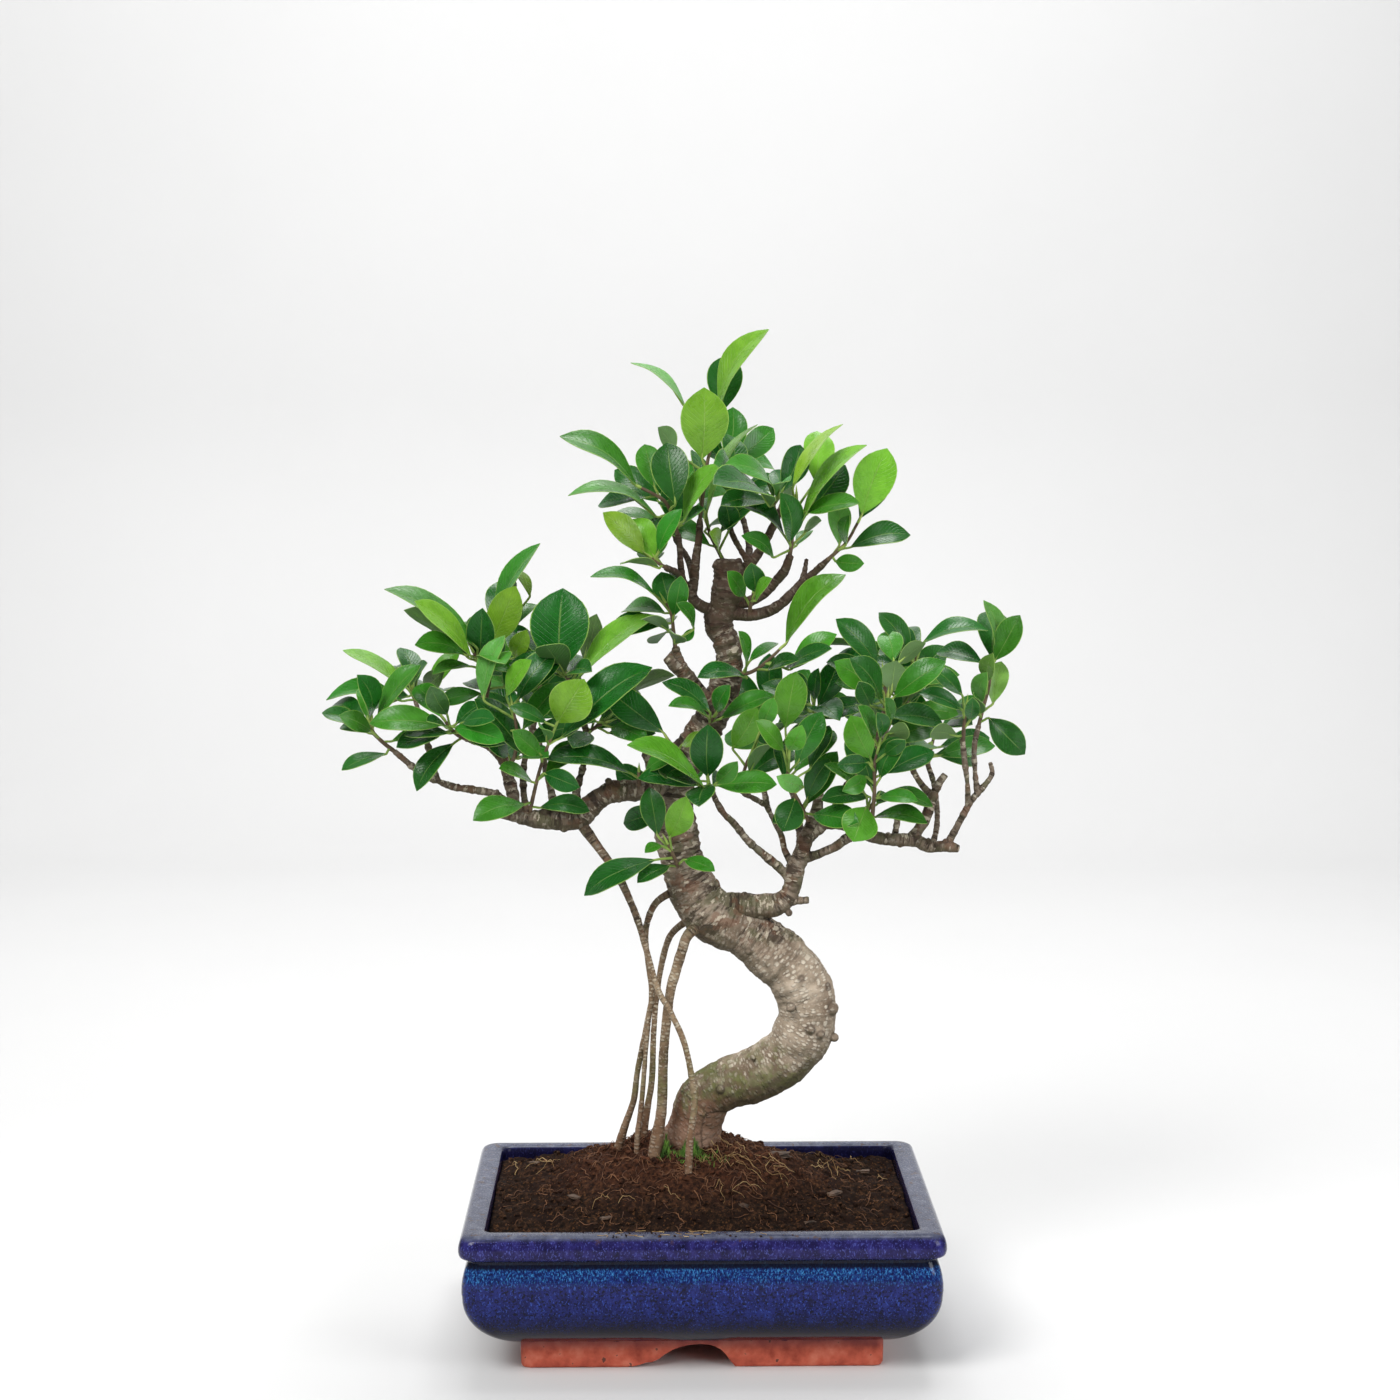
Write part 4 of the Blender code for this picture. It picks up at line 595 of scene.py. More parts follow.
def makeSoil():
    size = soilSizes
    deselectAll()
    bpy.ops.mesh.primitive_grid_add(x_subdivisions=size["columns"], y_subdivisions=size["rows"], size=1.0,
                                    location=(0, 0, 0))
    soil = bpy.context.object
    soil.name = "potting_soil"
    points = pointArray(soil)
    points[:, 0] *= 2 * (size["halfX"] - size["gap"]) / (points[:, 0].max() - points[:, 0].min())
    points[:, 1] *= 2 * (size["halfY"] - size["gap"]) / (points[:, 1].max() - points[:, 1].min())
    points[:, 2] = [soilHeight(x, y) for x, y in points[:, :2]]
    setPoints(soil, points * mm + np.array(potMiddle))
    choose(soil)
    bpy.ops.object.mode_set(mode="EDIT")
    bpy.ops.mesh.select_all(action="SELECT")
    bpy.ops.mesh.region_to_loop()
    bpy.ops.mesh.extrude_region_move(TRANSFORM_OT_translate={"value": (0, 0, -size["depth"] * mm)})
    bpy.ops.mesh.edge_face_add()
    bpy.ops.mesh.select_all(action="SELECT")
    bpy.ops.mesh.normals_make_consistent(inside=False)
    bpy.ops.object.mode_set(mode="OBJECT")
    bpy.ops.object.shade_smooth()
    soil.data.materials.append(soilLooks("peatSoil", 1.0))
    finishPiece(soil, "soil", "soil")


def soilLooks(name, lightness):
    made, tree, shader = newMaterial(name)
    place = objectPlace(tree)
    grain = noiseOf(tree, place, 420.0, 6.0, 0.7)
    clods = noiseOf(tree, place, 95.0, 3.0)
    colour = ramp(tree, grain, (0.32, (0.003, 0.002, 0.0015)), (0.48, (0.015, 0.008, 0.005)),
                  (0.60, (0.045, 0.021, 0.011)), (0.76, (0.13, 0.065, 0.034)))
    colour = over(tree, colour, (0.014, 0.007, 0.005), step(tree, clods, 0.42, 0.62))
    colour = over(tree, colour, (0.17, 0.075, 0.03), patchesOf(tree, place, 700.0, 2.0, 0.60, 0.66), 0.45)
    # redder and fibrous where the soil is heaped against the tree
    heaped = step(tree, addNode(tree, "SeparateXYZ", {"Vector": place}).outputs["Z"], 0.070, 0.086)
    fibrous = ramp(tree, grain, (0.38, (0.016, 0.006, 0.004)), (0.64, (0.13, 0.048, 0.024)))
    colour = over(tree, colour, fibrous, heaped, 0.55)
    hue = addNode(tree, "HueSaturation", {"Value": lightness, "Color": colour})
    tree.links.new(hue.outputs["Color"], shader.inputs["Base Color"])
    shader.inputs["Roughness"].default_value = 0.95
    shader.inputs["Specular IOR Level"].default_value = 0.12
    bumpOf(tree, shader, grain, 0.0012, 0.9)
    return made


def makeCrumbs():
    # Crumbs of peat and bark, each a ball of a few faces knocked out of round.
    size = soilSizes
    dice = random.Random(size["seed"])
    deselectAll()
    bpy.ops.mesh.primitive_ico_sphere_add(subdivisions=1, radius=1.0, location=(0, 0, 0))
    ball = bpy.context.object
    ballPoints = pointArray(ball)
    ballFaces = np.array([face.vertices[:] for face in ball.data.polygons])
    bpy.data.objects.remove(ball)
    points, faces = [], []
    farX, farY = 0.98 * size["halfX"], 0.98 * size["halfY"]
    for number in range(size["crumbs"]):
        x = dice.uniform(-0.98, 0.98) * size["halfX"]
        y = dice.uniform(-0.98, 0.98) * size["halfY"]
        if number % 3 == 0:
            x, y = max(-farX, min(farX, dice.gauss(-6, 34))), max(-farY, min(farY, dice.gauss(0, 30)))
        z = soilHeight(x, y)
        wide = dice.choice((0.5, 0.7, 0.9, 1.1, 1.4, 2.0)) * dice.uniform(0.8, 1.25)
        if 30 < number < 95:
            # spilled on the front of the rim
            x, y = dice.gauss(-8, 26), -size["halfY"] - dice.uniform(1.5, 10.0)
            z, wide = potHigh.z / mm - 0.15, dice.uniform(0.25, 0.75)
        points.append(crumb(ballPoints, dice, wide) + np.array((x, y, z + 0.1 * wide)))
        faces.append(ballFaces + number * len(ballPoints))
    crumbs = objectFrom("peat_crumbs", np.vstack(points) * mm + np.array(potMiddle),
                        np.vstack(faces).tolist())
    crumbs.data.materials.append(soilLooks("peatCrumbs", 1.35))
    finishPiece(crumbs, "soil")


def crumb(ballPoints, dice, wide):
    scale = np.array([dice.uniform(0.6, 1.3), dice.uniform(0.6, 1.3), dice.uniform(0.45, 0.9)]) * wide
    knocked = ballPoints * np.array([[dice.uniform(0.75, 1.2)] for _ in ballPoints]) * scale
    aroundZ = turnedAboutZ(dice.uniform(0, math.tau))
    lean = dice.uniform(-0.6, 0.6)
    aroundX = np.array([[1, 0, 0], [0, math.cos(lean), -math.sin(lean)], [0, math.sin(lean), math.cos(lean)]])
    return knocked @ (aroundZ @ aroundX).T


def strandMesh(paths, sides=4):
    # Many thin closed strands in one mesh; each path is rows of x, y, z and radius.
    points, faces, start = [], [], 0
    for path in paths:
        path = np.asarray(path, float)
        along = np.gradient(path[:, :3], axis=0)
        along /= np.linalg.norm(along, axis=1)[:, None] + 1e-12
        across = np.cross(along, np.array((0.31, 0.23, 0.92)))
        across /= np.linalg.norm(across, axis=1)[:, None] + 1e-12
        beside = np.cross(along, across)
        for side in range(sides):
            angle = math.tau * side / sides
            outward = across * math.cos(angle) + beside * math.sin(angle)
            points.append(path[:, :3] + outward * path[:, 3:4])
        count = len(path)
        for side in range(sides):
            after = (side + 1) % sides
            for row in range(count - 1):
                a, b = start + side * count + row, start + after * count + row
                faces.append((a, b, b + 1, a + 1))
        faces.append(tuple(start + side * count for side in reversed(range(sides))))
        faces.append(tuple(start + side * count + count - 1 for side in range(sides)))
        start += sides * count
    return np.vstack(points), faces


def soilStrand(dice, x, y, length, wide, lift, curl, points=7):
    heading = dice.uniform(0, math.tau)
    rows = []
    for index in range(points):
        share = index / (points - 1)
        rise = lift * math.sin(math.pi * share) * dice.uniform(0.7, 1.3)
        rows.append((x, y, soilHeight(x, y) + 0.35 + rise, wide * (1.0 - 0.6 * abs(share - 0.35))))
        heading += dice.gauss(0, curl)
        x += math.cos(heading) * length / (points - 1)
        y += math.sin(heading) * length / (points - 1)
        x = max(-0.985 * soilSizes["halfX"], min(0.985 * soilSizes["halfX"], x))
        y = max(-0.985 * soilSizes["halfY"], min(0.985 * soilSizes["halfY"], y))
    return smoothPath(rows, max(0.5, length / 14))


def makeFibres():
    # Short brown peat fibres all over, and longer pale roots where they lie bare on the surface.
    dice = random.Random(soilSizes["seed"] + 1)
    short = []
    for number in range(soilSizes["fibres"]):
        x = dice.uniform(-0.96, 0.96) * soilSizes["halfX"]
        y = dice.uniform(-0.96, 0.96) * soilSizes["halfY"]
        if number % 5 < 3:
            x, y = dice.gauss(-4, 24), max(-60, min(60, dice.gauss(-2, 18)))
        short.append(soilStrand(dice, x, y, dice.uniform(4, 13), dice.uniform(0.10, 0.24), 0.8, 0.6))
    brown = strandLooks("peatFibre", (0.070, 0.028, 0.014), (0.24, 0.105, 0.045))
    makeStrands("peat_fibres", short, brown, "soil")

    # where the bare roots lie, how they spread, how many and how long
    pale = []
    bareRoots = {
        "rightOfTrunk": ((18, -2), (12, 13), 10, (16, 34)), "front": ((-34, -38), (20, 14), 4, (8, 16)),
        "left": ((-76, 30), (14, 14), 4, (12, 24)), "right": ((72, 34), (20, 14), 6, (12, 26)),
        "nearTrunk": ((2, -12), (14, 10), 7, (10, 22)),
    }
    for middle, spread, count, lengths in bareRoots.values():
        for _ in range(count):
            x = max(-94, min(94, dice.gauss(middle[0], spread[0])))
            y = max(-64, min(64, dice.gauss(middle[1], spread[1])))
            pale.append(soilStrand(dice, x, y, dice.uniform(*lengths), dice.uniform(0.09, 0.17), 3.0, 0.55,
                                   13))
    spilled = []
    for _ in range(26):
        x, y = dice.gauss(-8, 26), -soilSizes["halfY"] - dice.uniform(1.5, 9.5)
        heading, rows = dice.uniform(0, math.tau), []
        for _ in range(5):
            rows.append((x, y, potHigh.z / mm + 0.1, 0.13))
            heading += dice.gauss(0, 0.4)
            x, y = x + math.cos(heading) * 1.3, max(-soilSizes["halfY"] - 10.5, y + math.sin(heading) * 0.8)
        spilled.append(smoothPath(rows, 0.6))
    golden = strandLooks("bareRoot", (0.30, 0.17, 0.06), (0.62, 0.44, 0.20))
    makeStrands("surface_roots", pale + spilled, golden, "root_bark")


def makeStrands(name, paths, looks, slotName):
    points, faces = strandMesh(paths)
    obj = objectFrom(name, points * mm + np.array(potMiddle), faces)
    choose(obj)
    bpy.ops.object.shade_smooth()
    obj.data.materials.append(looks)
    finishPiece(obj, slotName)


def strandLooks(name, dark, pale):
    made, tree, shader = newMaterial(name)
    place = objectPlace(tree)
    tree.links.new(ramp(tree, noiseOf(tree, place, 160.0, 3.0), (0.36, dark), (0.64, pale)),
                   shader.inputs["Base Color"])
    shader.inputs["Roughness"].default_value = 0.75
    bumpOf(tree, shader, noiseOf(tree, place, 1400.0, 2.0), 0.0002, 0.5)
    return made


def makeMoss():
    # Moss at the foot of the trunk: short leaning blades.
    dice = random.Random(5)
    blades = []
    # where each tuft is, how it spreads, its count of blades and how far it climbs the wood
    tufts = (((-5, -13), (3.2, 2.2), 520, 11.0), ((-17, -10), (1.6, 1.6), 260, 9.0),
             ((0, -15), (5, 2), 60, 0.0))
    for middle, spread, count, rise in tufts:
        for _ in range(count):
            x, y = dice.gauss(middle[0], spread[0]), dice.gauss(middle[1], spread[1])
            reach = max(0.0, 1.0 - abs(x - middle[0]) / (2 * spread[0]))
            z = soilHeight(x, y) - 0.4 + dice.uniform(0, rise) * reach * reach
            lean = (dice.gauss(0, 0.7), dice.gauss(-0.35, 0.7))
            tall = dice.uniform(1.4, 3.4)
            rows = [(x + lean[0] * share, y + lean[1] * share, z + tall * share, 0.30 * (1.08 - share))
                    for share in (0.0, 0.35, 0.7, 1.0)]
            blades.append(rows)
    looks = strandLooks("mossGreen", (0.035, 0.10, 0.012), (0.17, 0.34, 0.045))
    makeStrands("moss_tufts", blades, looks, "soil")


def makeBarkChips():
    dice = random.Random(9)
    chips = []
    places = [(40, 12, 5.0), (-62, -30, 3.0), (66, -18, 3.4), (20, -44, 2.8), (-30, 34, 3.2), (84, 34, 3.0),
              (-84, 40, 2.6), (-46, -52, 2.4), (52, -50, 2.2), (8, 48, 3.0)]
    for x, y, wide in places:
        deselectAll()
        bpy.ops.mesh.primitive_cube_add(size=1.0, location=(0, 0, 0))
        chip = bpy.context.object
        bpy.ops.object.mode_set(mode="EDIT")
        bpy.ops.mesh.subdivide(number_cuts=3)
        bpy.ops.object.mode_set(mode="OBJECT")
        points = pointArray(chip)
        jag = np.array([[noise.noise(Vector(point) * 2.3 + Vector((x, y, axis))) for axis in range(3)]
                        for point in points])
        points = (points + 0.35 * jag) * np.array((wide * 2.0, wide, wide * 0.35))
        points = points @ turnedAboutZ(dice.uniform(0, math.tau)).T + np.array((x, y, soilHeight(x, y) + 0.9))
        setPoints(chip, points * mm + np.array(potMiddle))
        chips.append(chip)
    bark = joinInto(chips[0], chips[1:])
    bark.name = "bark_chips"
    bark.data.materials.append(strandLooks("barkChip", (0.03, 0.018, 0.012), (0.14, 0.085, 0.055)))
    finishPiece(bark, "bark")


# Wood: each branch is a run of (x, z, y, radius) from its root to its tip

trunkRuns = {
    "trunk": [
        (-7, 62, 7, 18), (-6, 78, 7, 17), (-4, 93, 6, 14.2), (2, 115, 4, 13), (15, 123.5, 2, 13),
        (29, 128, 0, 13.5), (43, 137, -2, 14), (52, 151, -2, 14.5), (53, 164, -2, 14.5),
        (47, 178, -2, 14.5), (36, 189, -1, 14), (24, 198.5, 0, 13), (6, 208, 0, 13.5), (-3, 220, 0, 12),
        (-9, 235, 0, 11), (-12, 252, 0, 10.5), (-13, 268, 0, 10), (-8, 285, 1, 9), (2, 300, 2, 8.5),
        (10, 315, 3, 8), (14, 330, 3, 7), (13, 343, 3, 6.5), (9, 353, 3, 7), (12, 362, 3, 7.5),
        (14, 375, 3, 7.6), (14, 384, 3, 6.2),
    ],
    "cut_stub": [(-12, 270, 0, 5), (-21, 277, -1, 4), (-24, 285, -1, 3.2), (-28, 290, -1, 1.6)],
    "buttress_left": [(0, 114, 4, 5), (-9, 103, 2, 5), (-17, 94, 0, 4.6), (-25, 80, -2, 4)],
    "buttress_right": [(2, 114, 3, 4.2), (4, 102, 4, 4.0), (6, 94, 5, 3.4), (9, 80, 6, 3.0)],
}
limbLeftRuns = {
    "limb": [
        (-8, 268, 0, 6), (-20, 270, -1, 5.6), (-32, 270, -2, 5.2), (-42, 270, -3, 5.2),
        (-50, 266, -4, 5.2), (-60, 258, -5, 6.4), (-70, 256.7, -6, 6), (-80, 256, -7, 4.6),
        (-88, 257.5, -7, 3.6), (-95, 258.5, -7, 2.6), (-101.5, 259.3, -7, 2),
    ],
    "outer": [
        (-88, 258, -7, 2.6), (-95, 264, -8, 2.3), (-102, 269, -9, 2), (-112, 271, -10, 1.8),
        (-123, 273, -11, 1.7), (-138, 280, -12, 1.5), (-150, 290, -13, 1.4),
    ],
    "upper": [
        (-90, 258, -6, 3), (-92, 268, -2, 2.9), (-94, 276, 2, 2.8), (-97, 287, 5, 2.4), (-101, 300, 6, 2),
        (-105, 315, 4, 1.7), (-107, 330, 2, 1.5),
    ],
    "middle": [(-96, 284, 4, 1.6), (-104, 292, -4, 1.5), (-115, 296, -14, 1.4)],
    "riser": [(-129, 276, -12, 1.4), (-133, 290, -4, 1.4), (-137, 305, 4, 1.3), (-139, 314, 8, 1.3)],
    "inner": [
        (-60, 260, -4, 2.2), (-61, 269, 0, 1.9), (-59, 277, 3, 1.7), (-57, 285, 5, 1.6),
        (-56, 297, 6, 1.5), (-59, 312, 4, 1.4), (-62, 322, 0, 1.3),
    ],
    "dark": [
        (-85, 258, -4, 1.8), (-87, 272, 6, 1.6), (-86, 286, 12, 1.5), (-82, 302, 19, 1.4),
        (-80, 315, 24, 1.3),
    ],
    "back": [(-72, 258, -3, 2.2), (-73, 268, 14, 1.9), (-76, 282, 29, 1.6), (-80, 298, 42, 1.4)],
}
limbRightRuns = {
    "limb": [
        (0, 216, 0, 6.5), (12, 214, -3, 5.8), (22, 213, -4, 6.2), (30, 212.5, -5, 5.8),
        (38, 213.5, -5, 5.6), (43.5, 218, -5, 4.6), (46, 224, -5, 4.2), (47, 231, -5, 4.6),
        (50, 238, -5, 4.2), (52, 246, -4, 3.6), (56, 256, -2, 3), (58, 264, 0, 2.6), (58, 276, 4, 2.1),
        (56, 290, 6, 1.8), (56, 304, 6, 1.5),
    ],
    "stub": [(43, 215, -5, 2.2), (54, 215.5, -6, 1.8)],
    "left": [
        (45, 224, -5, 2.2), (40, 231, -6, 2.1), (33, 237, -8, 2), (24, 245, -10, 1.8),
        (17, 253.5, -12, 1.7), (12, 258.5, -14, 1.5), (8, 265, -16, 1.4), (6, 270, -18, 1.3),
    ],
    "up_left": [
        (47, 231, -4, 1.8), (42, 240, -1, 1.5), (40, 248, 1, 1.4), (36, 256, 3, 1.4), (33, 263, 4, 1.4),
        (31, 273, 8, 1.3), (28, 284, 13, 1.3),
    ],
    "side": [(33, 263, 4, 1.4), (27, 266, -4, 1.4), (21, 269.5, -10, 1.3), (20, 273, -14, 1.3)],
    "right": [
        (53, 246, -4, 2.6), (60, 252, -4, 2.4), (65, 258, -4, 2.2), (69, 266, -4, 2), (76, 278, -4, 1.8),
        (84, 290, -4, 1.6), (89, 302, -4, 1.5), (91, 310, -5, 1.4),
    ],
    "back": [(50, 240, -2, 2.2), (49, 252, 14, 1.9), (46, 268, 30, 1.6), (40, 286, 44, 1.4)],
    "back_right": [(66, 260, -2, 1.8), (74, 272, 16, 1.6), (84, 288, 32, 1.4), (92, 300, 42, 1.3)],
}
limbFarRightRuns = {
    "limb": [
        (50, 236, -5, 2.6), (57, 238, -6, 2.2), (61, 239.7, -7, 2.1), (67, 242.3, -8, 2.2),
        (72, 246, -8, 2.4), (79, 248.5, -9, 2.6), (86, 247, -9, 3), (93, 245.7, -9, 3),
        (100, 245.5, -8, 3), (107, 245, -8, 3.2), (113, 242, -8, 3), (119, 242.3, -8, 2.7),
        (124, 242, -8, 2.6), (128, 241, -8, 1.8),
    ],
    "tie": [(62, 253.5, -5, 2.2), (71, 252.5, -8, 2.3), (79, 248.5, -9, 2.4)],
    "upper": [
        (104, 246, -8, 2.8), (109, 252, -7, 2.7), (112, 258, -6, 2.4), (115, 267, -5, 2.2),
        (117.5, 273, -5, 1.9), (121, 278, -5, 1.7),
    ],
    "fork": [
        (115, 267, -5, 1.7), (110, 272, -3, 1.5), (106, 278, -1, 1.4), (102, 286, 1, 1.4),
        (99.5, 291, 2, 1.3),
    ],
    "twig": [(105, 279, -1, 1.1), (107, 285, -3, 1), (109, 290, -5, 0.9)],
    "dead": [(96, 246, -6, 1.6), (97.5, 256, -2, 1.4), (98, 263, 0, 1.2)],
    "far": [
        (122, 242.5, -8, 1.9), (126, 250, -7, 1.7), (130, 258, -6, 1.6), (134, 265, -5, 1.5),
        (139, 271, -4, 1.4), (144, 278, -3, 1.2), (143, 284, -2, 1),
    ],
    "far_up": [(137, 268, -4, 1.4), (135.5, 280, -2, 1.3), (135, 292, 0, 1.3), (137, 302, 4, 1.3)],
    "far_left": [(132, 261, -5, 1.4), (132, 272, -9, 1.3), (130.5, 284, -11, 1.3), (129, 296, -12, 1.3)],
    "back": [(115, 243, -6, 1.6), (117, 254, 10, 1.4), (116, 270, 26, 1.3), (112, 284, 38, 1.3)],
}
crownLeftRuns = {
    "branch": [
        (12, 357, 3, 3.4), (6, 359, 1, 3), (0, 361.5, 0, 2.8), (-4, 366, -1, 2.6), (-3, 374, -1, 2.3),
        (-2, 385, -2, 2), (-0.5, 395, -2, 1.7), (0, 404, -2, 1.4),
    ],
    "side": [
        (-4, 367, -1, 1.9), (-8, 373, 0, 1.7), (-9.5, 382, 1, 1.5), (-10, 391, 2, 1.4),
        (-11, 397, 2, 1.3),
    ],
    "low": [(-8, 374, 0, 1.4), (-12, 378, -8, 1.4), (-17, 380, -16, 1.3)],
    "back": [(-3, 374, -1, 1.8), (-6, 384, 14, 1.5), (-12, 394, 28, 1.3)],
}
crownRightRuns = {
    "branch": [
        (14, 358, 3, 3.2), (22, 357, 1, 3), (28, 357.3, 0, 2.9), (35, 359.5, -1, 2.7),
        (41, 363.5, -2, 2.4), (46, 368.5, -2, 2.2), (50.5, 373.5, -2, 2), (55, 377, -3, 1.7),
        (60, 381.5, -4, 1.5), (63, 384.5, -5, 1.3),
    ],
    "stub": [(50, 373, -2, 1.6), (51.2, 379, 0, 1.3), (52, 384, 3, 1)],
}
crownMiddleRuns = {
    "branch": [
        (14, 363, 3, 3), (22, 363, 4, 2.7), (29, 366, 5, 2.5), (33, 369, 4, 2.4), (37, 373.5, 2, 2.3),
        (41, 378, -1, 2.2), (44, 386, -4, 1.8),
    ],
}
crownTopRuns = {
    "branch": [
        (14, 377, 3, 3.2), (20, 379, 5, 2.8), (25, 382.5, 7, 2.5), (29, 388, 8, 2.2), (32.5, 394, 9, 2),
        (36, 401, 9, 1.8), (39, 408, 9, 1.5), (41, 414, 9, 1.3),
    ],
    "left": [(24, 382, 6, 1.6), (19, 390, 9, 1.4), (15, 399, 12, 1.3), (16, 409, 14, 1.3)],
    "back": [(22, 380, 6, 1.8), (24, 388, 20, 1.6), (22, 400, 34, 1.4), (18, 412, 44, 1.3)],
}
deadStubRuns = {
    "stub": [
        (8, 308, -1, 4), (0, 318, -3, 3.9), (-7, 327, -4, 3.8), (-13, 334, -5, 3.5), (-16, 337, -5, 3.2),
    ],
    "side": [(-8, 329, -4, 2.6), (-11, 337, -6, 2.2), (-12, 341, -7, 1.8)],
}
rootRuns = {
    "aerial_root_limb": {
        "root": [
            (-58, 253, -6, 2.6), (-50, 242, -8, 2.2), (-41, 229, -11, 1.9), (-34, 214, -14, 1.7),
            (-30, 203, -16, 1.6), (-27, 192, -17, 1.5), (-21, 171, -18, 1.4), (-15, 160, -19, 1.4),
            (-8, 144, -21, 1.4), (-4, 125, -23, 1.5), (-3, 110, -24, 1.6), (-5, 95, -25, 1.8),
            (-6, 76, -26, 1.8),
        ],
    },
    "aerial_root_outer": {
        "root": [
            (-7, 222, 0, 2.4), (-15, 219, -3, 2), (-22, 214, -4, 1.7), (-26, 205, -4, 1.5),
            (-27, 195, -4, 1.4), (-24, 170, -5, 1.4), (-26, 155, -4, 1.4), (-31, 130, -2, 1.4),
            (-33, 115, 0, 1.5), (-37, 103, 2, 1.8), (-41, 90, 4, 2.1), (-44, 76, 5, 2.1),
        ],
        "fork": [
            (-25, 160, -4.5, 1.1), (-27, 140, -6, 1.1), (-29, 115, -6, 1.2), (-31, 98, -5, 1.4),
            (-32, 80, -5, 1.4),
        ],
    },
    "aerial_root_back": {
        "root": [
            (0, 209, 4, 2.2), (-12, 201, 12, 1.7), (-17, 192, 13, 1.5), (-21, 172, 13, 1.4),
            (-23, 150, 12, 1.4), (-24, 125, 11, 1.5), (-27, 106, 10, 1.7), (-29, 84, 9, 1.8),
        ],
    },
    "aerial_root_thick": {
        "root": [
            (2, 205, -6, 2.8), (-6, 198, -11, 2.6), (-9, 190, -12, 2.5), (-12, 180, -12, 2.4),
            (-15, 168, -12, 2.3), (-18, 140, -12, 2.3), (-19, 112, -11, 2.5), (-21, 98, -11, 3),
            (-24, 80, -10, 3.4),
        ],
    },
}
# knots, healed cuts and broken twig ends that stand out of the bark: (x, z, y, radius)
knotShare = 0.82
woodKnots = {
    "trunk": [
        (66, 161, -10, 3.6), (45, 161, -16.5, 2.7), (55, 150, -16.5, 2.6), (60, 147.5, -14.5, 2.2),
        (67, 146, -8, 2.6), (38, 196, -12, 2.2), (-6, 237, -9, 2.6), (-20, 254, -6, 3.0),
        (-24, 262, -4, 2.4), (10, 120, -11, 2.2), (26, 136, -12, 1.8), (15, 345, -3, 2.8),
        (8, 352, -2, 3.0), (18, 366, -1, 3.2), (10, 371, -3, 3.0), (20, 372, 3, 3.0), (13, 381, -2, 3.2),
        (8, 381, 2, 2.6), (19, 383, 2, 2.4), (5, 300, -6, 2.2), (-14, 281, -5, 2.4), (3, 221, -9, 2.2),
        (50, 176, -15, 2.0), (24, 190, -11.5, 1.9), (62, 172, -9, 2.2),
    ],
    "limb_left": [
        (-60, 262, -8, 3.2), (-67, 252, -8, 3.0), (-76, 261, -9, 2.8), (-83, 254, -9, 2.4),
        (-89, 262, -9, 2.2), (-45, 275, -5, 2.0), (-100, 270, -10, 1.6), (-93, 277, 0, 2.0),
    ],
    "limb_right": [
        (22, 218, -7, 2.4), (30, 208, -7, 2.6), (38, 217, -8, 2.4), (46, 222, -8, 2.6),
        (46, 231, -8, 2.4), (53, 246, -7, 2.0), (44, 209, -7, 2.2),
    ],
    "limb_far_right": [
        (79, 251, -10, 1.8), (93, 248, -11, 1.7), (107, 248, -10, 2.0), (113, 245, -10, 1.8),
        (121, 245, -9, 1.6), (112, 259, -8, 1.5), (99, 243, -9, 1.6), (127, 251, -8, 1.2),
    ],
}

# voxel is the size that the joined branches are knitted at; lumps and wrinkles are how deep the bark is
crownBark = {"voxel": 0.45, "lumps": 0.32, "wrinkles": 0.2}
rootBarkSizes = {"voxel": 0.42, "lumps": 0.16, "wrinkles": 0.12}
woodPieces = {
    "trunk": {"runs": trunkRuns, "voxel": 0.8, "lumps": 0.75, "wrinkles": 0.75},
    "limb_left": {"runs": limbLeftRuns, "voxel": 0.5, "lumps": 0.5, "wrinkles": 0.42},
    "limb_right": {"runs": limbRightRuns, "voxel": 0.5, "lumps": 0.42, "wrinkles": 0.26},
    "limb_far_right": {"runs": limbFarRightRuns, "voxel": 0.45, "lumps": 0.36, "wrinkles": 0.22},
    "crown_branch_left": {"runs": crownLeftRuns, **crownBark},
    "crown_branch_right": {"runs": crownRightRuns, **crownBark},
    "crown_branch_middle": {"runs": crownMiddleRuns, **crownBark},
    "crown_branch_top": {"runs": crownTopRuns, **crownBark},
    "dead_stub": {"runs": deadStubRuns, "voxel": 0.5, "lumps": 0.5, "wrinkles": 0.3},
}


def swollenPath(points, seed, unevenness):
    rows = [(*at(x, z, y), radius * mm) for x, z, y, radius in points]
    path = smoothPath(rows, 1.6 * mm)
    for number, row in enumerate(path):
        swell = noise.noise(Vector((number * 0.16, seed * 7.3, 0.0)))
        node = noise.noise(Vector((number * 0.45, seed * 3.1, 5.0)))
        row[3] *= 1.0 + unevenness * swell + 0.5 * unevenness * node
    return path


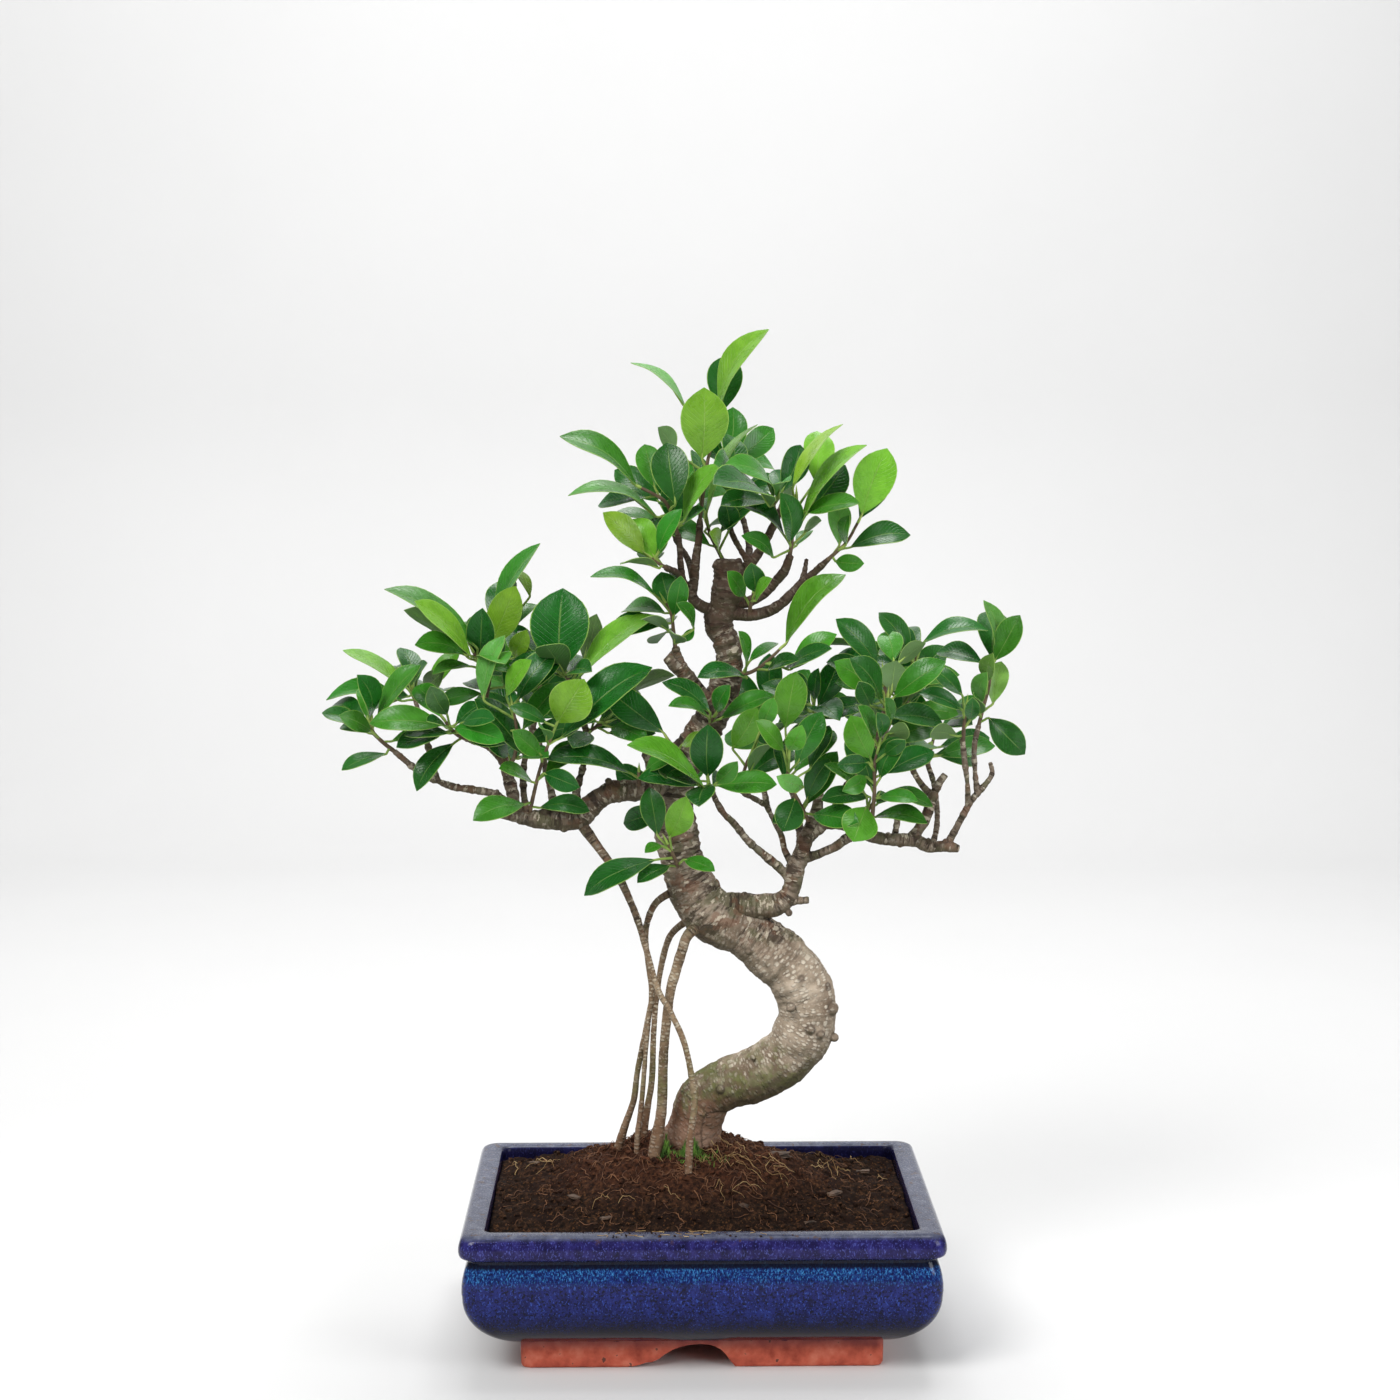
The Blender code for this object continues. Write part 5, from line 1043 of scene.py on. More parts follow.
def grainOf(points, paths):
    # Each point's place around and along its nearest branch, so that bark runs round the wood.
    centres = np.vstack(paths)
    along = np.vstack([np.gradient(path[:, :3], axis=0) for path in paths])
    along /= np.linalg.norm(along, axis=1)[:, None] + 1e-12
    travel = []
    for number, path in enumerate(paths):
        strides = np.linalg.norm(np.diff(path[:, :3], axis=0), axis=1)
        travel.append(np.concatenate([[0.0], np.cumsum(strides)]) + 0.37 * number)
    travel = np.concatenate(travel)
    tree = kdtree.KDTree(len(centres))
    for index, centre in enumerate(centres):
        tree.insert(centre[:3], index)
    tree.balance()
    nearest = np.empty(len(points), int)
    for number, point in enumerate(points):
        best = None
        for _, index, distance in tree.find_n(point, 6):
            reach = distance / centres[index][3]
            if best is None or reach < best[0]:
                best = (reach, index)
        nearest[number] = best[1]
    offset = points - centres[nearest, :3]
    lengthwise = (offset * along[nearest]).sum(axis=1)
    around = offset - along[nearest] * lengthwise[:, None]
    sideways = np.cross(along[nearest], (0.0, 1.0, 0.0))
    sideways /= np.linalg.norm(sideways, axis=1)[:, None] + 1e-12
    forwards = np.cross(along[nearest], sideways)
    return np.column_stack([(around * sideways).sum(axis=1), (around * forwards).sum(axis=1),
                            travel[nearest] + lengthwise])


def barkRelief(grain, rough, lumps, wrinkles, dashes):
    relief = np.empty(len(grain))
    for number, row in enumerate(grain):
        place = Vector(row) / mm
        flat = Vector((place.x / 9.0, place.y / 9.0, place.z / 1.9))
        dash = Vector((place.x / 3.4, place.y / 3.4, place.z / 1.15 + 40.0))
        band = Vector((place.x / 14.0, place.y / 14.0, place.z / 4.0 + 9.0))
        ring = noise.noise(flat) + 0.9 * noise.noise(band)
        raised = max(0.0, noise.noise(dash) - 0.12)
        relief[number] = (lumps * noise.noise(place / 11.0) + 0.45 * lumps * noise.noise(place / 4.0)
                          + rough[number] * wrinkles * ring + dashes * raised)
    return relief


def knotShares(points, knots):
    # 1 round the foot of a knot, where shade is painted, less on top of it, 0 away from it
    shares = np.zeros(len(points))
    for x, z, y, radius in knots:
        gaps = np.linalg.norm(points - np.array(at(x, z, y)), axis=1) / (radius * knotShare * mm)
        ring = np.clip((1.6 - gaps) / 0.4, 0.0, 1.0) * (0.35 + 0.65 * np.clip((gaps - 0.85) / 0.25, 0.0, 1.0))
        shares = np.maximum(shares, ring)
    return shares


def makeWood(name, facts, looks, unevenness=0.09):
    paths = [swollenPath(run, seed, unevenness) for seed, run in enumerate(facts["runs"].values())]
    tubes = [tubeAlong(name, path, 5) for path in paths]
    knots = woodKnots.get(name, [])
    for x, z, y, radius in knots:
        deselectAll()
        bpy.ops.mesh.primitive_ico_sphere_add(subdivisions=2, radius=knotShare * radius * mm,
                                              location=at(x, z, y))
        bpy.ops.object.transform_apply(location=True, rotation=True, scale=True)
        tubes.append(bpy.context.object)
    wood = joinInto(tubes[0], tubes[1:])
    wood.name = name + "_wood"
    applyModifier(wood, "REMESH", mode="VOXEL", voxel_size=facts["voxel"] * mm, adaptivity=0.0)
    applyModifier(wood, "SMOOTH", factor=0.5, iterations=4)
    points = pointArray(wood)
    grain = grainOf(points, paths)
    # the bark roughens above the bend
    rough = np.clip((points[:, 2] - 0.178) / 0.03, 0.25, 1.0)
    relief = barkRelief(grain, rough, facts["lumps"], facts["wrinkles"], 0.5 * facts["wrinkles"])
    setPoints(wood, points + normalArray(wood) * (relief[:, None] + 0.12) * mm)
    setAttribute(wood, "grain", "FLOAT_VECTOR", grain)
    setAttribute(wood, "knot", "FLOAT", knotShares(points, knots))
    choose(wood)
    bpy.ops.object.shade_smooth()
    wood.data.materials.clear()
    wood.data.materials.append(looks)
    return wood


def barkLooks(name, dark, mid, pale, dash, mossAndShadeStrength):
    made, tree, shader = newMaterial(name)
    grain, place = attributeOf(tree, "grain"), objectPlace(tree)
    height = addNode(tree, "SeparateXYZ", {"Vector": place}).outputs["Z"]
    high, upper = step(tree, height, 0.185, 0.285), step(tree, height, 0.183, 0.207)
    colour = ramp(tree, noiseOf(tree, place, 60.0, 4.0), (0.33, dark), (0.50, mid), (0.66, pale))
    rings = noiseOf(tree, stretched(tree, grain, (110.0, 110.0, 620.0)), 1.0, 4.0)
    cracked = reckon(tree, "ADD", 0.30, product(tree, upper, 0.55))
    colour = over(tree, colour, tuple(0.30 * part for part in dark), step(tree, rings, 0.50, 0.38), cracked)

    # pale oval pores in rows round the wood
    cells = {"Vector": stretched(tree, grain, (300.0, 300.0, 560.0)), "Scale": 1.0, "Randomness": 0.75}
    cells = addNode(tree, "TexVoronoi", cells).outputs["Distance"]
    many = patchesOf(tree, stretched(tree, grain, (60.0, 60.0, 30.0)), 1.0, 2.0, 0.30, 0.48)
    many = product(tree, many, reckon(tree, "SUBTRACT", 1.0, product(tree, upper, 0.6)))
    dashes = product(tree, step(tree, cells, 0.46, 0.28), many)
    colour = over(tree, colour, dash, dashes, 0.72)
    specks = noiseOf(tree, place, 900.0, 2.0)
    colour = over(tree, colour, dash, step(tree, specks, 0.60, 0.66), 0.35)

    # the crown's wood is darker, with pale lichen
    colour = over(tree, colour, (0.050, 0.030, 0.020), high, 0.52)
    lichen = patchesOf(tree, place, 330.0, 3.0, 0.585, 0.63)
    colour = over(tree, colour, (0.42, 0.39, 0.32), high, lichen, 0.75)

    # the foot of the trunk is green and brown with damp, and moss grows in the cracks higher up
    uneven = product(tree, reckon(tree, "SUBTRACT", noiseOf(tree, place, 150.0, 4.0), 0.5), 0.09)
    foot = step(tree, reckon(tree, "ADD", height, uneven), 0.150, 0.120)
    damp = ramp(tree, noiseOf(tree, place, 240.0, 4.0), (0.40, (0.110, 0.072, 0.040)),
                (0.56, (0.105, 0.125, 0.030)))
    rootHeight = reckon(tree, "ADD", height, product(tree, uneven, 0.4))
    damp = over(tree, damp, (0.170, 0.060, 0.028), step(tree, rootHeight, 0.122, 0.108))
    green = product(tree, patchesOf(tree, place, 110.0, 4.0, 0.50, 0.58),
                    product(tree, step(tree, height, 0.150, 0.125), step(tree, height, 0.108, 0.118)))
    colour = over(tree, colour, (0.150, 0.165, 0.045), green, mossAndShadeStrength)
    colour = over(tree, colour, damp, foot, 0.95 * mossAndShadeStrength)
    colour = over(tree, colour, (0.090, 0.062, 0.042), upper, 0.35)
    mossy = patchesOf(tree, place, 85.0, 5.0, 0.50, 0.60)
    colour = over(tree, colour, (0.075, 0.085, 0.032), mossy, upper, 0.75 * mossAndShadeStrength)
    # dark grooves in the cracked bark: partly the bark's own colour, partly painted shade in the cracks
    grooves = patchesOf(tree, stretched(tree, grain, (75.0, 75.0, 270.0)), 1.0, 3.0, 0.455, 0.385)
    colour = over(tree, colour, (0.030, 0.019, 0.013), grooves, upper, 0.85)

    # rusty and cream patches on the cracked bark, knots a little darker with painted shade round their foot,
    # and a red-brown crown
    rusty = patchesOf(tree, place, 120.0, 4.0, 0.53, 0.61)
    colour = over(tree, colour, (0.150, 0.068, 0.038), rusty, upper, 0.6)
    cream = patchesOf(tree, stretched(tree, grain, (190.0, 190.0, 380.0)), 1.0, 3.0, 0.575, 0.625)
    colour = over(tree, colour, (0.560, 0.490, 0.380), cream, upper, 0.7)
    colour = over(tree, colour, (0.060, 0.040, 0.028), attributeOf(tree, "knot", "Fac"), 0.75)
    colour = over(tree, colour, (0.050, 0.025, 0.016), step(tree, height, 0.338, 0.358), 0.68)

    # painted shade on the undersides, which are also a little mossy
    colour = over(tree, colour, (0.065, 0.055, 0.028), step(tree, upward(tree), 0.25, -0.75), mossAndShadeStrength)
    tree.links.new(colour, shader.inputs["Base Color"])
    shader.inputs["Roughness"].default_value = 0.82
    shader.inputs["Specular IOR Level"].default_value = 0.3
    relief = reckon(tree, "ADD", product(tree, rings, 0.7), product(tree, dashes, 0.8))
    relief = reckon(tree, "ADD", relief, product(tree, specks, 0.35))
    bumpOf(tree, shader, reckon(tree, "SUBTRACT", relief, product(tree, grooves, upper)), 0.0009, 0.8)
    return made


def makeAllWood():
    bark = barkLooks("ficusBark", (0.20, 0.145, 0.100), (0.35, 0.278, 0.205), (0.56, 0.46, 0.355),
                     (0.72, 0.64, 0.52), 0.75)
    rootBark = barkLooks("aerialRootBark", (0.12, 0.075, 0.042), (0.23, 0.155, 0.092), (0.36, 0.27, 0.175),
                         (0.52, 0.45, 0.34), 0.4)
    for name, facts in woodPieces.items():
        finishPiece(makeWood(name, facts, bark), "bark", name)
        print(name, "ready")
    for name, runs in rootRuns.items():
        finishPiece(makeWood(name, {"runs": runs, **rootBarkSizes}, rootBark, 0.13), "root_bark", name)
    print("aerial roots ready")


# Foliage: each shoot is its stem's run of (x, z, y), then its leaves. A leaf is (x and z of the blade's
# base, x and z of its tip, breadth shown, how much further back the tip is, how far it arches as a share
# of its length, tone). A breadth under 0 shows the leaf's underside.

leafTones = {
    "young": (0.150, 0.35, 0.022), "bright": (0.072, 0.270, 0.017), "leaf": (0.035, 0.185, 0.013),
    "dark": (0.012, 0.096, 0.010), "olive": (0.060, 0.14, 0.035), "pale": (0.120, 0.29, 0.050),
}
leafSizes = {
    "ratio": 0.47, "broadest": 31.0, "across": 4, "along": 12, "thickness": 0.32, "fold": 0.30,
    "stalk": 0.62, "stem": 1.0, "bareStem": 3.5, "stalkRun": 5.0, "extras": 6, "crownExtras": 2,
    "tries": 90, "clear": 2.4, "lowestExtra": 262.0, "crown": 360.0, "nearFront": 8.0,
}
# windows that extra leaves leave open, as low x, high x, low z and high z
bareTrunk, bareTwigs = (-8, 32, 280, 395), (16, 60, 336, 384)
sparseShoots = ("shoot_low", "shoot_trunk_left", "shoot_limb_left", "shoot_apex", "shoot_right_far_low")
# the blade's half width along its length, as shares of both
leafOutline = [(0.0, 0.03), (0.04, 0.12), (0.10, 0.29), (0.20, 0.56), (0.32, 0.80), (0.44, 0.94), (0.55, 1.0),
               (0.64, 0.99), (0.73, 0.93), (0.81, 0.80), (0.88, 0.61), (0.93, 0.40), (0.97, 0.18),
               (1.0, 0.02)]
shootTable = {
    "shoot_apex": ([(-0.5, 400, -2), (1, 412, -5), (3, 428, -8), (6, 442, -9), (9, 454, -9)], [
        (9, 457, 32, 496, 10, -6, 0.12, "young"), (11, 456, 13, 483, 18, 8, 0.05, "dark"),
        (1, 433, 2, 467, 24, -8, 0.05, "young"), (-7, 458, -33, 480, 4, 6, 0.1, "pale"),
        (0, 414, -3, 438, 9, 14, 0.06, "dark"), (-12, 436, -20, 448, -10, 18, 0.05, "olive")]),
    "shoot_crown_left_top": ([(-11, 396, 2), (-13, 404, -6), (-17, 412, -12), (-23, 416, -16),
        (-29, 419, -18)], [
        (-22, 419, -27, 440, 13, 10, 0.06, "leaf"), (-12, 411, -16, 441, 19, 10, 0.05, "dark"),
        (-31, 420, -68, 444, 10, -4, 0.12, "leaf"), (-21, 405, -64, 416, 5, -8, 0.16, "leaf"),
        (-13, 397, -43, 406, 4, -4, 0.1, "leaf"), (-8, 403, 9, 431, 9, 4, 0.08, "young"),
        (-16, 404, -26, 400, 4, 10, 0.08, "dark"), (-9, 401, 2, 409, 5, -12, 0.08, "leaf")]),
    "shoot_crown_left_low": ([(-16, 379.7, -15), (-20, 382, -20), (-24, 385, -24)], [
        (-27, 387, -47, 407, 12, -6, 0.06, "young"), (-22, 385, -33, 404, 17, 6, 0.05, "young"),
        (-20, 380, -39, 382, -5, -16, 0.08, "olive"), (-21, 385, -19, 397, 9, 14, 0.06, "leaf")]),
    "shoot_crown_mid": ([(13, 380, 4), (9, 388, 10), (5, 396, 13), (3, 404, 15)], [
        (3, 407, 25, 451, 4, -5, 0.06, "young"), (2, 404, 5, 416, 8, 20, 0.06, "dark"),
        (9, 389, 6, 397, 8, -20, 0.06, "young"), (14, 398, 12, 412, 11, -14, 0.05, "dark"),
        (2, 398, 14, 403, -4, 14, 0.08, "olive")]),
    "shoot_crown_top_left": ([(16, 407, 13.6), (17, 414, 15), (17, 420, 15)], [
        (18, 421, 22, 435, 7, 12, 0.06, "pale"), (16, 421, 9, 432, 6, -10, 0.08, "leaf"),
        (17, 422, 14, 446, 13, 18, 0.06, "dark")]),
    "shoot_crown_arch": ([(38, 405.5, 9), (36.5, 408, 2), (36, 410.5, -5), (37, 414, -9)], [
        (36, 414, 13, 431, 8, -8, 0.16, "leaf"), (34, 410, 7, 422, 9, -18, 0.12, "dark"),
        (40, 416, 36, 428, 9, 14, 0.06, "dark"), (40, 417, 49, 440, 14, 10, 0.05, "dark")]),
    "shoot_crown_right_top": ([(43.6, 385, -3.7), (44.6, 391, -5), (45, 396, -6), (46, 401, -9),
        (47, 408, -11), (47, 414, -12)], [
        (49, 402, 79, 441, 6, -12, 0.05, "young"), (53, 407, 71, 430, 16, -2, 0.06, "dark"),
        (56, 422, 57, 447, 16, 16, 0.05, "young"), (45, 419, 69, 450, 5, 4, 0.08, "young"),
        (46, 408, 45, 422, -9, 22, 0.05, "olive"), (41, 396, 17, 412, 8, -10, 0.15, "dark"),
        (36, 385, 21, 396, 8, -10, 0.12, "leaf"), (50, 396, 59, 403, -7, 16, 0.06, "olive"),
        (47, 391, 54, 399, 6, 12, 0.06, "leaf")]),
    "shoot_crown_right_low": ([(62, 383.5, -4.7), (67, 388, -8), (72, 393, -10), (77, 402, -12)], [
        (79, 406, 91, 438, 21, -4, 0.05, "young"), (68, 391, 67, 413, 12, 10, 0.06, "pale"),
        (71, 391, 72, 405, 6, -12, 0.08, "leaf"), (66, 383, 80, 382, 9, -12, 0.1, "leaf")]),
    "shoot_crown_inner": ([(24, 357.5, 0.5), (25, 363, -6), (26, 368, -9)], [
        (27, 368, 25, 382, 11, -12, 0.06, "dark"), (27, 364, 34, 375, 5, -14, 0.08, "young"),
        (22, 366, 14, 378, 9, -14, 0.06, "leaf")]),
    "shoot_neck_left": ([(-12, 339, -6.6), (-13, 349, -9), (-14, 357, -10), (-17, 363, -11)], [
        (-14, 359, -19, 378, 13, 8, 0.06, "dark"), (-21, 366, -53, 377, 5, -8, 0.15, "leaf"),
        (-12, 368, -16, 382, 5, 12, 0.08, "dark"), (-3, 350, -11, 363, 6, -12, 0.1, "leaf"),
        (-15, 349, -29, 356, -7, -14, 0.08, "olive"), (-9, 344, -3, 350, 5, -10, 0.1, "leaf")]),
    "shoot_left_top": ([(-107, 328, 2.2), (-109, 335, -4), (-111, 339, -8)], [
        (-109, 341, -153, 371, 8, -6, 0.06, "leaf"), (-112, 337, -139, 364, 8, -16, 0.08, "young"),
        (-113, 336, -144, 360, -11, 8, 0.06, "olive"), (-112, 332, -131, 329, 5, -8, 0.08, "leaf")]),
    "shoot_left_tall": ([(-105, 315, 4), (-103, 326, 11), (-102, 338, 13), (-101, 350, 13)], [
        (-100, 353, -78, 392, 9, 2, 0.08, "leaf"), (-103, 341, -90, 371, 17, -8, 0.05, "young"),
        (-96, 322, -90, 339, 12, 18, 0.06, "dark"), (-91, 336, -85, 349, 10, -14, 0.06, "young"),
        (-90, 352, -80, 363, 7, 12, 0.08, "pale"), (-83, 366, -91, 380, 5, 10, 0.1, "young")]),
    "shoot_left_far": ([(-138.5, 312, 7), (-140, 316, 9), (-141, 321, 9)], [
        (-143, 321, -174, 341, 5, 6, 0.06, "young"), (-146, 315, -183, 317, 7, -4, 0.14, "leaf"),
        (-134, 319, -126, 329, 10, -16, 0.06, "olive"), (-133, 321, -118, 339, 9, -8, 0.06, "young"),
        (-140, 322, -146, 342, 11, 18, 0.06, "dark")]),
    "shoot_left_end": ([(-149.4, 289.5, -13), (-155, 294, -14), (-160, 299, -15), (-161, 303, -17),
        (-161, 306, -19)], [
        (-158, 308, -138, 333, 10, -6, 0.06, "leaf"), (-161, 300, -176, 308, 9, -14, 0.06, "leaf"),
        (-154, 289, -176, 281, 6, -12, 0.08, "dark"), (-163, 306, -166, 322, 8, 12, 0.08, "leaf")]),
    "shoot_left_mid": ([(-114.2, 295.7, -13.3), (-119, 298, -20), (-123, 302, -25), (-125, 305, -27)], [
        (-126, 303, -162, 305, 12, -4, 0.08, "leaf"), (-123, 299, -145, 298, 6, -14, 0.08, "dark"),
        (-121, 294, -140, 271, 11, -8, 0.06, "dark"), (-117, 304, -101, 306, 8, -14, 0.06, "dark"),
        (-124, 308, -132, 322, 11, -12, 0.05, "olive")]),
    "shoot_left_core": ([(-95, 281, 3.5), (-91, 288, -10), (-90, 300, -18), (-92, 312, -21)], [
        (-86, 288, -110, 316, 12, -10, 0.06, "dark"), (-94, 288, -105, 296, 9, -18, 0.06, "dark"),
        (-95, 317, -83, 335, 9, -12, 0.08, "young"), (-106, 315, -96, 347, 10, 2, 0.08, "pale")]),
    "shoot_left_green": ([(-84, 259, -7.5), (-82, 268, -13), (-79, 280, -19), (-75, 292, -23),
        (-71, 302, -26)], [
        (-70, 304, -57, 325, 22, -8, 0.1, "young"), (-68, 297, -25, 333, 17, 2, 0.06, "dark"),
        (-77, 279, -60, 272, 11, -12, 0.06, "dark"), (-78, 288, -92, 300, 10, -14, 0.06, "leaf")]),
    "shoot_left_big": ([(-61.8, 320.5, 0.7), (-65, 326, -5), (-67, 331, -8)], [
        (-69, 329, -67, 370, 30, 2, 0.05, "dark"), (-60, 326, -22, 358, 10, -8, 0.05, "young"),
        (-57, 335, -51, 357, -12, 14, 0.06, "olive"), (-76, 333, -88, 350, 11, 16, 0.06, "dark")]),
    "shoot_left_inner": ([(-56, 298, 6), (-51, 302, 3), (-46, 304, 1)], [
        (-45, 299, -22, 299, 9, -8, 0.06, "dark"), (-52, 305, -58, 317, -9, 14, 0.06, "olive"),
        (-40, 315, -13, 328, -8, 10, 0.06, "olive"), (-44, 307, -30, 321, 12, 18, 0.06, "dark"),
        (-58, 303, -68, 308, -7, 8, 0.08, "olive")]),
    "shoot_limb_left": ([(-30, 270, -2), (-30, 277, -10), (-30, 280, -13)], [
        (-34, 279, -76, 286, 9, -4, 0.12, "dark"), (-27, 280, -12, 288, 8, -12, 0.08, "leaf")]),
    "shoot_low": ([(-10, 230, -5), (-12, 235, -15), (-14, 240, -19), (-16, 244, -21)], [
        (-22, 236, -58, 220, 10, -6, 0.1, "dark"), (-15, 233, -31, 225, 7, -14, 0.08, "dark"),
        (-15, 247, -7, 267, 14, -10, 0.08, "young"), (-21, 248, -25, 272, 13, 2, 0.08, "dark"),
        (-8, 236, 7, 231, 7, -12, 0.08, "leaf"), (-19, 243, -27, 240, 5, -10, 0.1, "leaf")]),
    "shoot_centre_left": ([(6.5, 268.5, -17.5), (5, 272, -20), (4, 275, -22)], [
        (2, 272, -35, 294, 8, -8, 0.08, "young"), (4, 277, 4, 303, 17, -8, 0.1, "dark"),
        (8, 274, 18, 284, 9, -12, 0.06, "leaf")]),
    "shoot_centre_top": ([(3, 300, -1), (5, 304, -11), (7, 307, -15)], [
        (10, 306, 36, 318, 8, -6, 0.08, "leaf"), (5, 309, -18, 325, 9, 4, 0.1, "dark"),
        (4, 307, -15, 313, 5, -12, 0.1, "leaf"), (8, 309, 14, 322, 9, -14, 0.06, "leaf")]),
    "shoot_trunk_left": ([(-8, 286, -2), (-13, 292, -11), (-16, 296, -14)], [
        (-18, 299, -46, 321, 16, 4, 0.08, "dark"), (-9, 293, 3, 296, 7, -14, 0.08, "young"),
        (-12, 287, -18, 276, -9, -12, 0.08, "olive")]),
    "shoot_centre_mid": ([(20.2, 272.4, -13.3), (21, 277, -18), (23, 284, -21), (26, 290, -23)], [
        (16, 291, 28, 311, 14, -6, 0.06, "young"), (24, 279, 34, 294, -8, -14, 0.06, "olive"),
        (27, 293, 27, 308, 8, 14, 0.06, "dark"), (30, 301, 36, 316, 9, -8, 0.06, "young")]),
    "shoot_centre_right": ([(54, 254, -3), (49, 264, -15), (44, 274, -23), (43, 284, -28)], [
        (42, 301, 47, 329, 16, 0, 0.08, "young"), (41, 290, 28, 305, 9, -10, 0.08, "young"),
        (44, 290, 50, 302, 10, -14, 0.1, "young"), (48, 284, 60, 309, 14, -2, 0.06, "leaf"),
        (54, 281, 63, 303, 9, 12, 0.06, "dark"), (41, 277, 38, 293, 8, 12, 0.06, "dark"),
        (51, 272, 38, 277, 9, -12, 0.12, "pale"), (47, 266.5, 41, 250, 15, -10, 0.08, "dark")]),
    "shoot_centre_high": ([(14, 329, 0), (22, 328, -9), (29, 331, -12), (36, 337, -14), (39, 340, -14)], [
        (42, 343, 69.5, 378, 11, 2, 0.12, "young"), (44, 330, 66, 348, 10, -8, 0.08, "young"),
        (42, 331, 64, 341, 7, -16, 0.08, "dark"), (33, 330, 48, 335, 7, -16, 0.08, "dark"),
        (24, 334, 38, 344, 5, 10, 0.08, "leaf"), (23, 333, 19, 349, 6, -10, 0.08, "leaf"),
        (23, 326, -1, 327, 7, -14, 0.12, "dark")]),
    "shoot_centre_deep": ([(56, 303, 6), (56.5, 309, 8.5), (55.5, 314, 10)], [
        (58, 312, 68, 334, 14, 8, 0.06, "dark"), (54, 313, 44, 328, 12, 14, 0.06, "dark"),
        (59, 308, 74, 316, 10, 14, 0.06, "leaf")]),
    "shoot_right_top": ([(90.5, 308, -4.8), (91, 318, -8), (90, 328, -9)], [
        (87, 332, 67, 355, 13, -6, 0.08, "dark"), (95, 334, 91, 349, 13, 14, 0.06, "leaf"),
        (97, 333, 110, 343, -9, 12, 0.06, "olive"), (79, 341, 61, 343, -5, 14, 0.08, "olive"),
        (81, 333, 68, 339, 7, 12, 0.08, "dark")]),
    "shoot_right_front": ([(84, 290, -4), (88, 300, -17), (91, 310, -24), (92, 316, -26)], [
        (90, 319, 66, 334, 14, -6, 0.08, "young"), (94, 319, 96, 334, -15, 12, 0.06, "olive"),
        (86, 304, 78, 313, -8, -16, 0.06, "olive"), (94, 304, 91, 316, 7, -12, 0.06, "leaf"),
        (84, 312, 78, 324, 10, -14, 0.05, "dark")]),
    "shoot_right_out": ([(99.8, 290, 2), (101, 302, 6), (102, 315, 8), (105, 330, 8), (107, 339, 8)], [
        (109, 343, 141, 350, 7, -4, 0.15, "dark"), (104, 323, 127, 328, 9, -8, 0.08, "leaf"),
        (103, 310, 127, 308, 10, -12, 0.08, "leaf"), (100, 313, 108, 323, -9, -16, 0.06, "olive"),
        (104, 334, 98, 352, 11, 14, 0.06, "dark")]),
    "shoot_right_far": ([(136.6, 300, 3.5), (139, 310, 7), (142, 322, 9), (143, 332, 10)], [
        (145, 337, 139, 364, 9, 4, 0.15, "pale"), (141, 324, 143, 337, 8, -14, 0.06, "pale"),
        (137, 312, 140, 328, 8, -14, 0.06, "pale"), (144, 313, 148, 334, 12, 10, 0.06, "pale"),
        (142, 306, 160, 288, 15, -8, 0.1, "dark")]),
    "shoot_right_far_low": ([(129.4, 294, -12), (130, 303, -17), (131, 312, -20)], [
        (129, 310, 108, 319, 8, -4, 0.08, "dark"), (129, 317, 114, 331, 9, 4, 0.06, "dark"),
        (133, 305, 134, 316, 8, -12, 0.06, "dark"), (127, 297, 113, 299, -9, -12, 0.06, "olive")]),
    "shoot_right_mid": ([(84, 247.3, -9), (85, 257, -21), (86, 270, -29), (86, 283, -34),
        (88, 293, -36)], [
        (84, 286, 74, 307, 15, -4, 0.08, "young"), (89, 296, 88, 308, 8, -14, 0.06, "dark"),
        (91, 288, 101, 295, 8, -12, 0.06, "dark"), (83, 284, 68, 283, 10, -10, 0.06, "dark"),
        (92, 298, 103, 300, -9, -10, 0.06, "olive"), (82, 277, 71, 270, 9, -12, 0.06, "leaf")]),
    "shoot_right_low": ([(77, 248, -9), (81, 257, -15), (86, 265, -17)], [
        (84, 267, 60, 266, 8, -8, 0.06, "dark"), (88, 267, 115, 262, 6, -4, 0.14, "leaf"),
        (82, 268, 62, 284, 5, -4, 0.06, "leaf"), (82, 262, 76, 245, 19, -12, 0.06, "young"),
        (86, 257, 112, 255, 7, -12, 0.12, "leaf")]),
    "shoot_back_left": ([(-79.7, 297, 41.5), (-84, 308, 50), (-88, 320, 56)], [
        (-90, 322, -110, 345, 14, 12, 0.08, "dark"), (-86, 322, -70, 348, 16, 14, 0.06, "leaf"),
        (-87, 310, -108, 318, 12, 22, 0.08, "dark"), (-80, 306, -62, 318, 14, 22, 0.06, "leaf"),
        (-84, 299, -98, 288, 12, 16, 0.08, "dark"), (-89, 324, -92, 352, 14, 2, 0.06, "leaf")]),
    "shoot_back_left_low": ([(-80, 314, 23.6), (-78, 324, 29), (-76, 332, 33)], [
        (-75, 334, -58, 352, 13, 8, 0.06, "dark"), (-78, 333, -94, 352, 14, 6, 0.06, "dark"),
        (-81, 318, -98, 330, 12, 12, 0.06, "leaf"), (-76, 322, -58, 326, 12, 10, 0.06, "dark")]),
    "shoot_back_crown": ([(18.4, 411, 43.3), (16, 420, 50), (14, 430, 55)], [
        (12, 432, -6, 452, 14, 10, 0.08, "dark"), (17, 431, 36, 448, 14, 12, 0.06, "leaf"),
        (20, 416, 42, 422, 12, 20, 0.08, "dark"), (14, 416, -8, 420, 13, 20, 0.06, "leaf"),
        (14, 433, 16, 458, 15, 4, 0.08, "leaf")]),
    "shoot_back_upper_left": ([(-11.7, 393, 27), (-15, 402, 34), (-17, 410, 38)], [
        (-20, 412, -42, 428, 14, 10, 0.08, "dark"), (-14, 411, 0, 428, 13, 14, 0.06, "leaf"),
        (-16, 396, -40, 396, 12, 16, 0.08, "dark"), (-17, 413, -18, 438, 14, 6, 0.06, "dark")]),
    "shoot_back_centre": ([(40.4, 285, 43.3), (36, 296, 52), (34, 308, 58)], [
        (32, 311, 14, 328, 14, 12, 0.06, "dark"), (37, 310, 54, 330, 14, 10, 0.06, "leaf"),
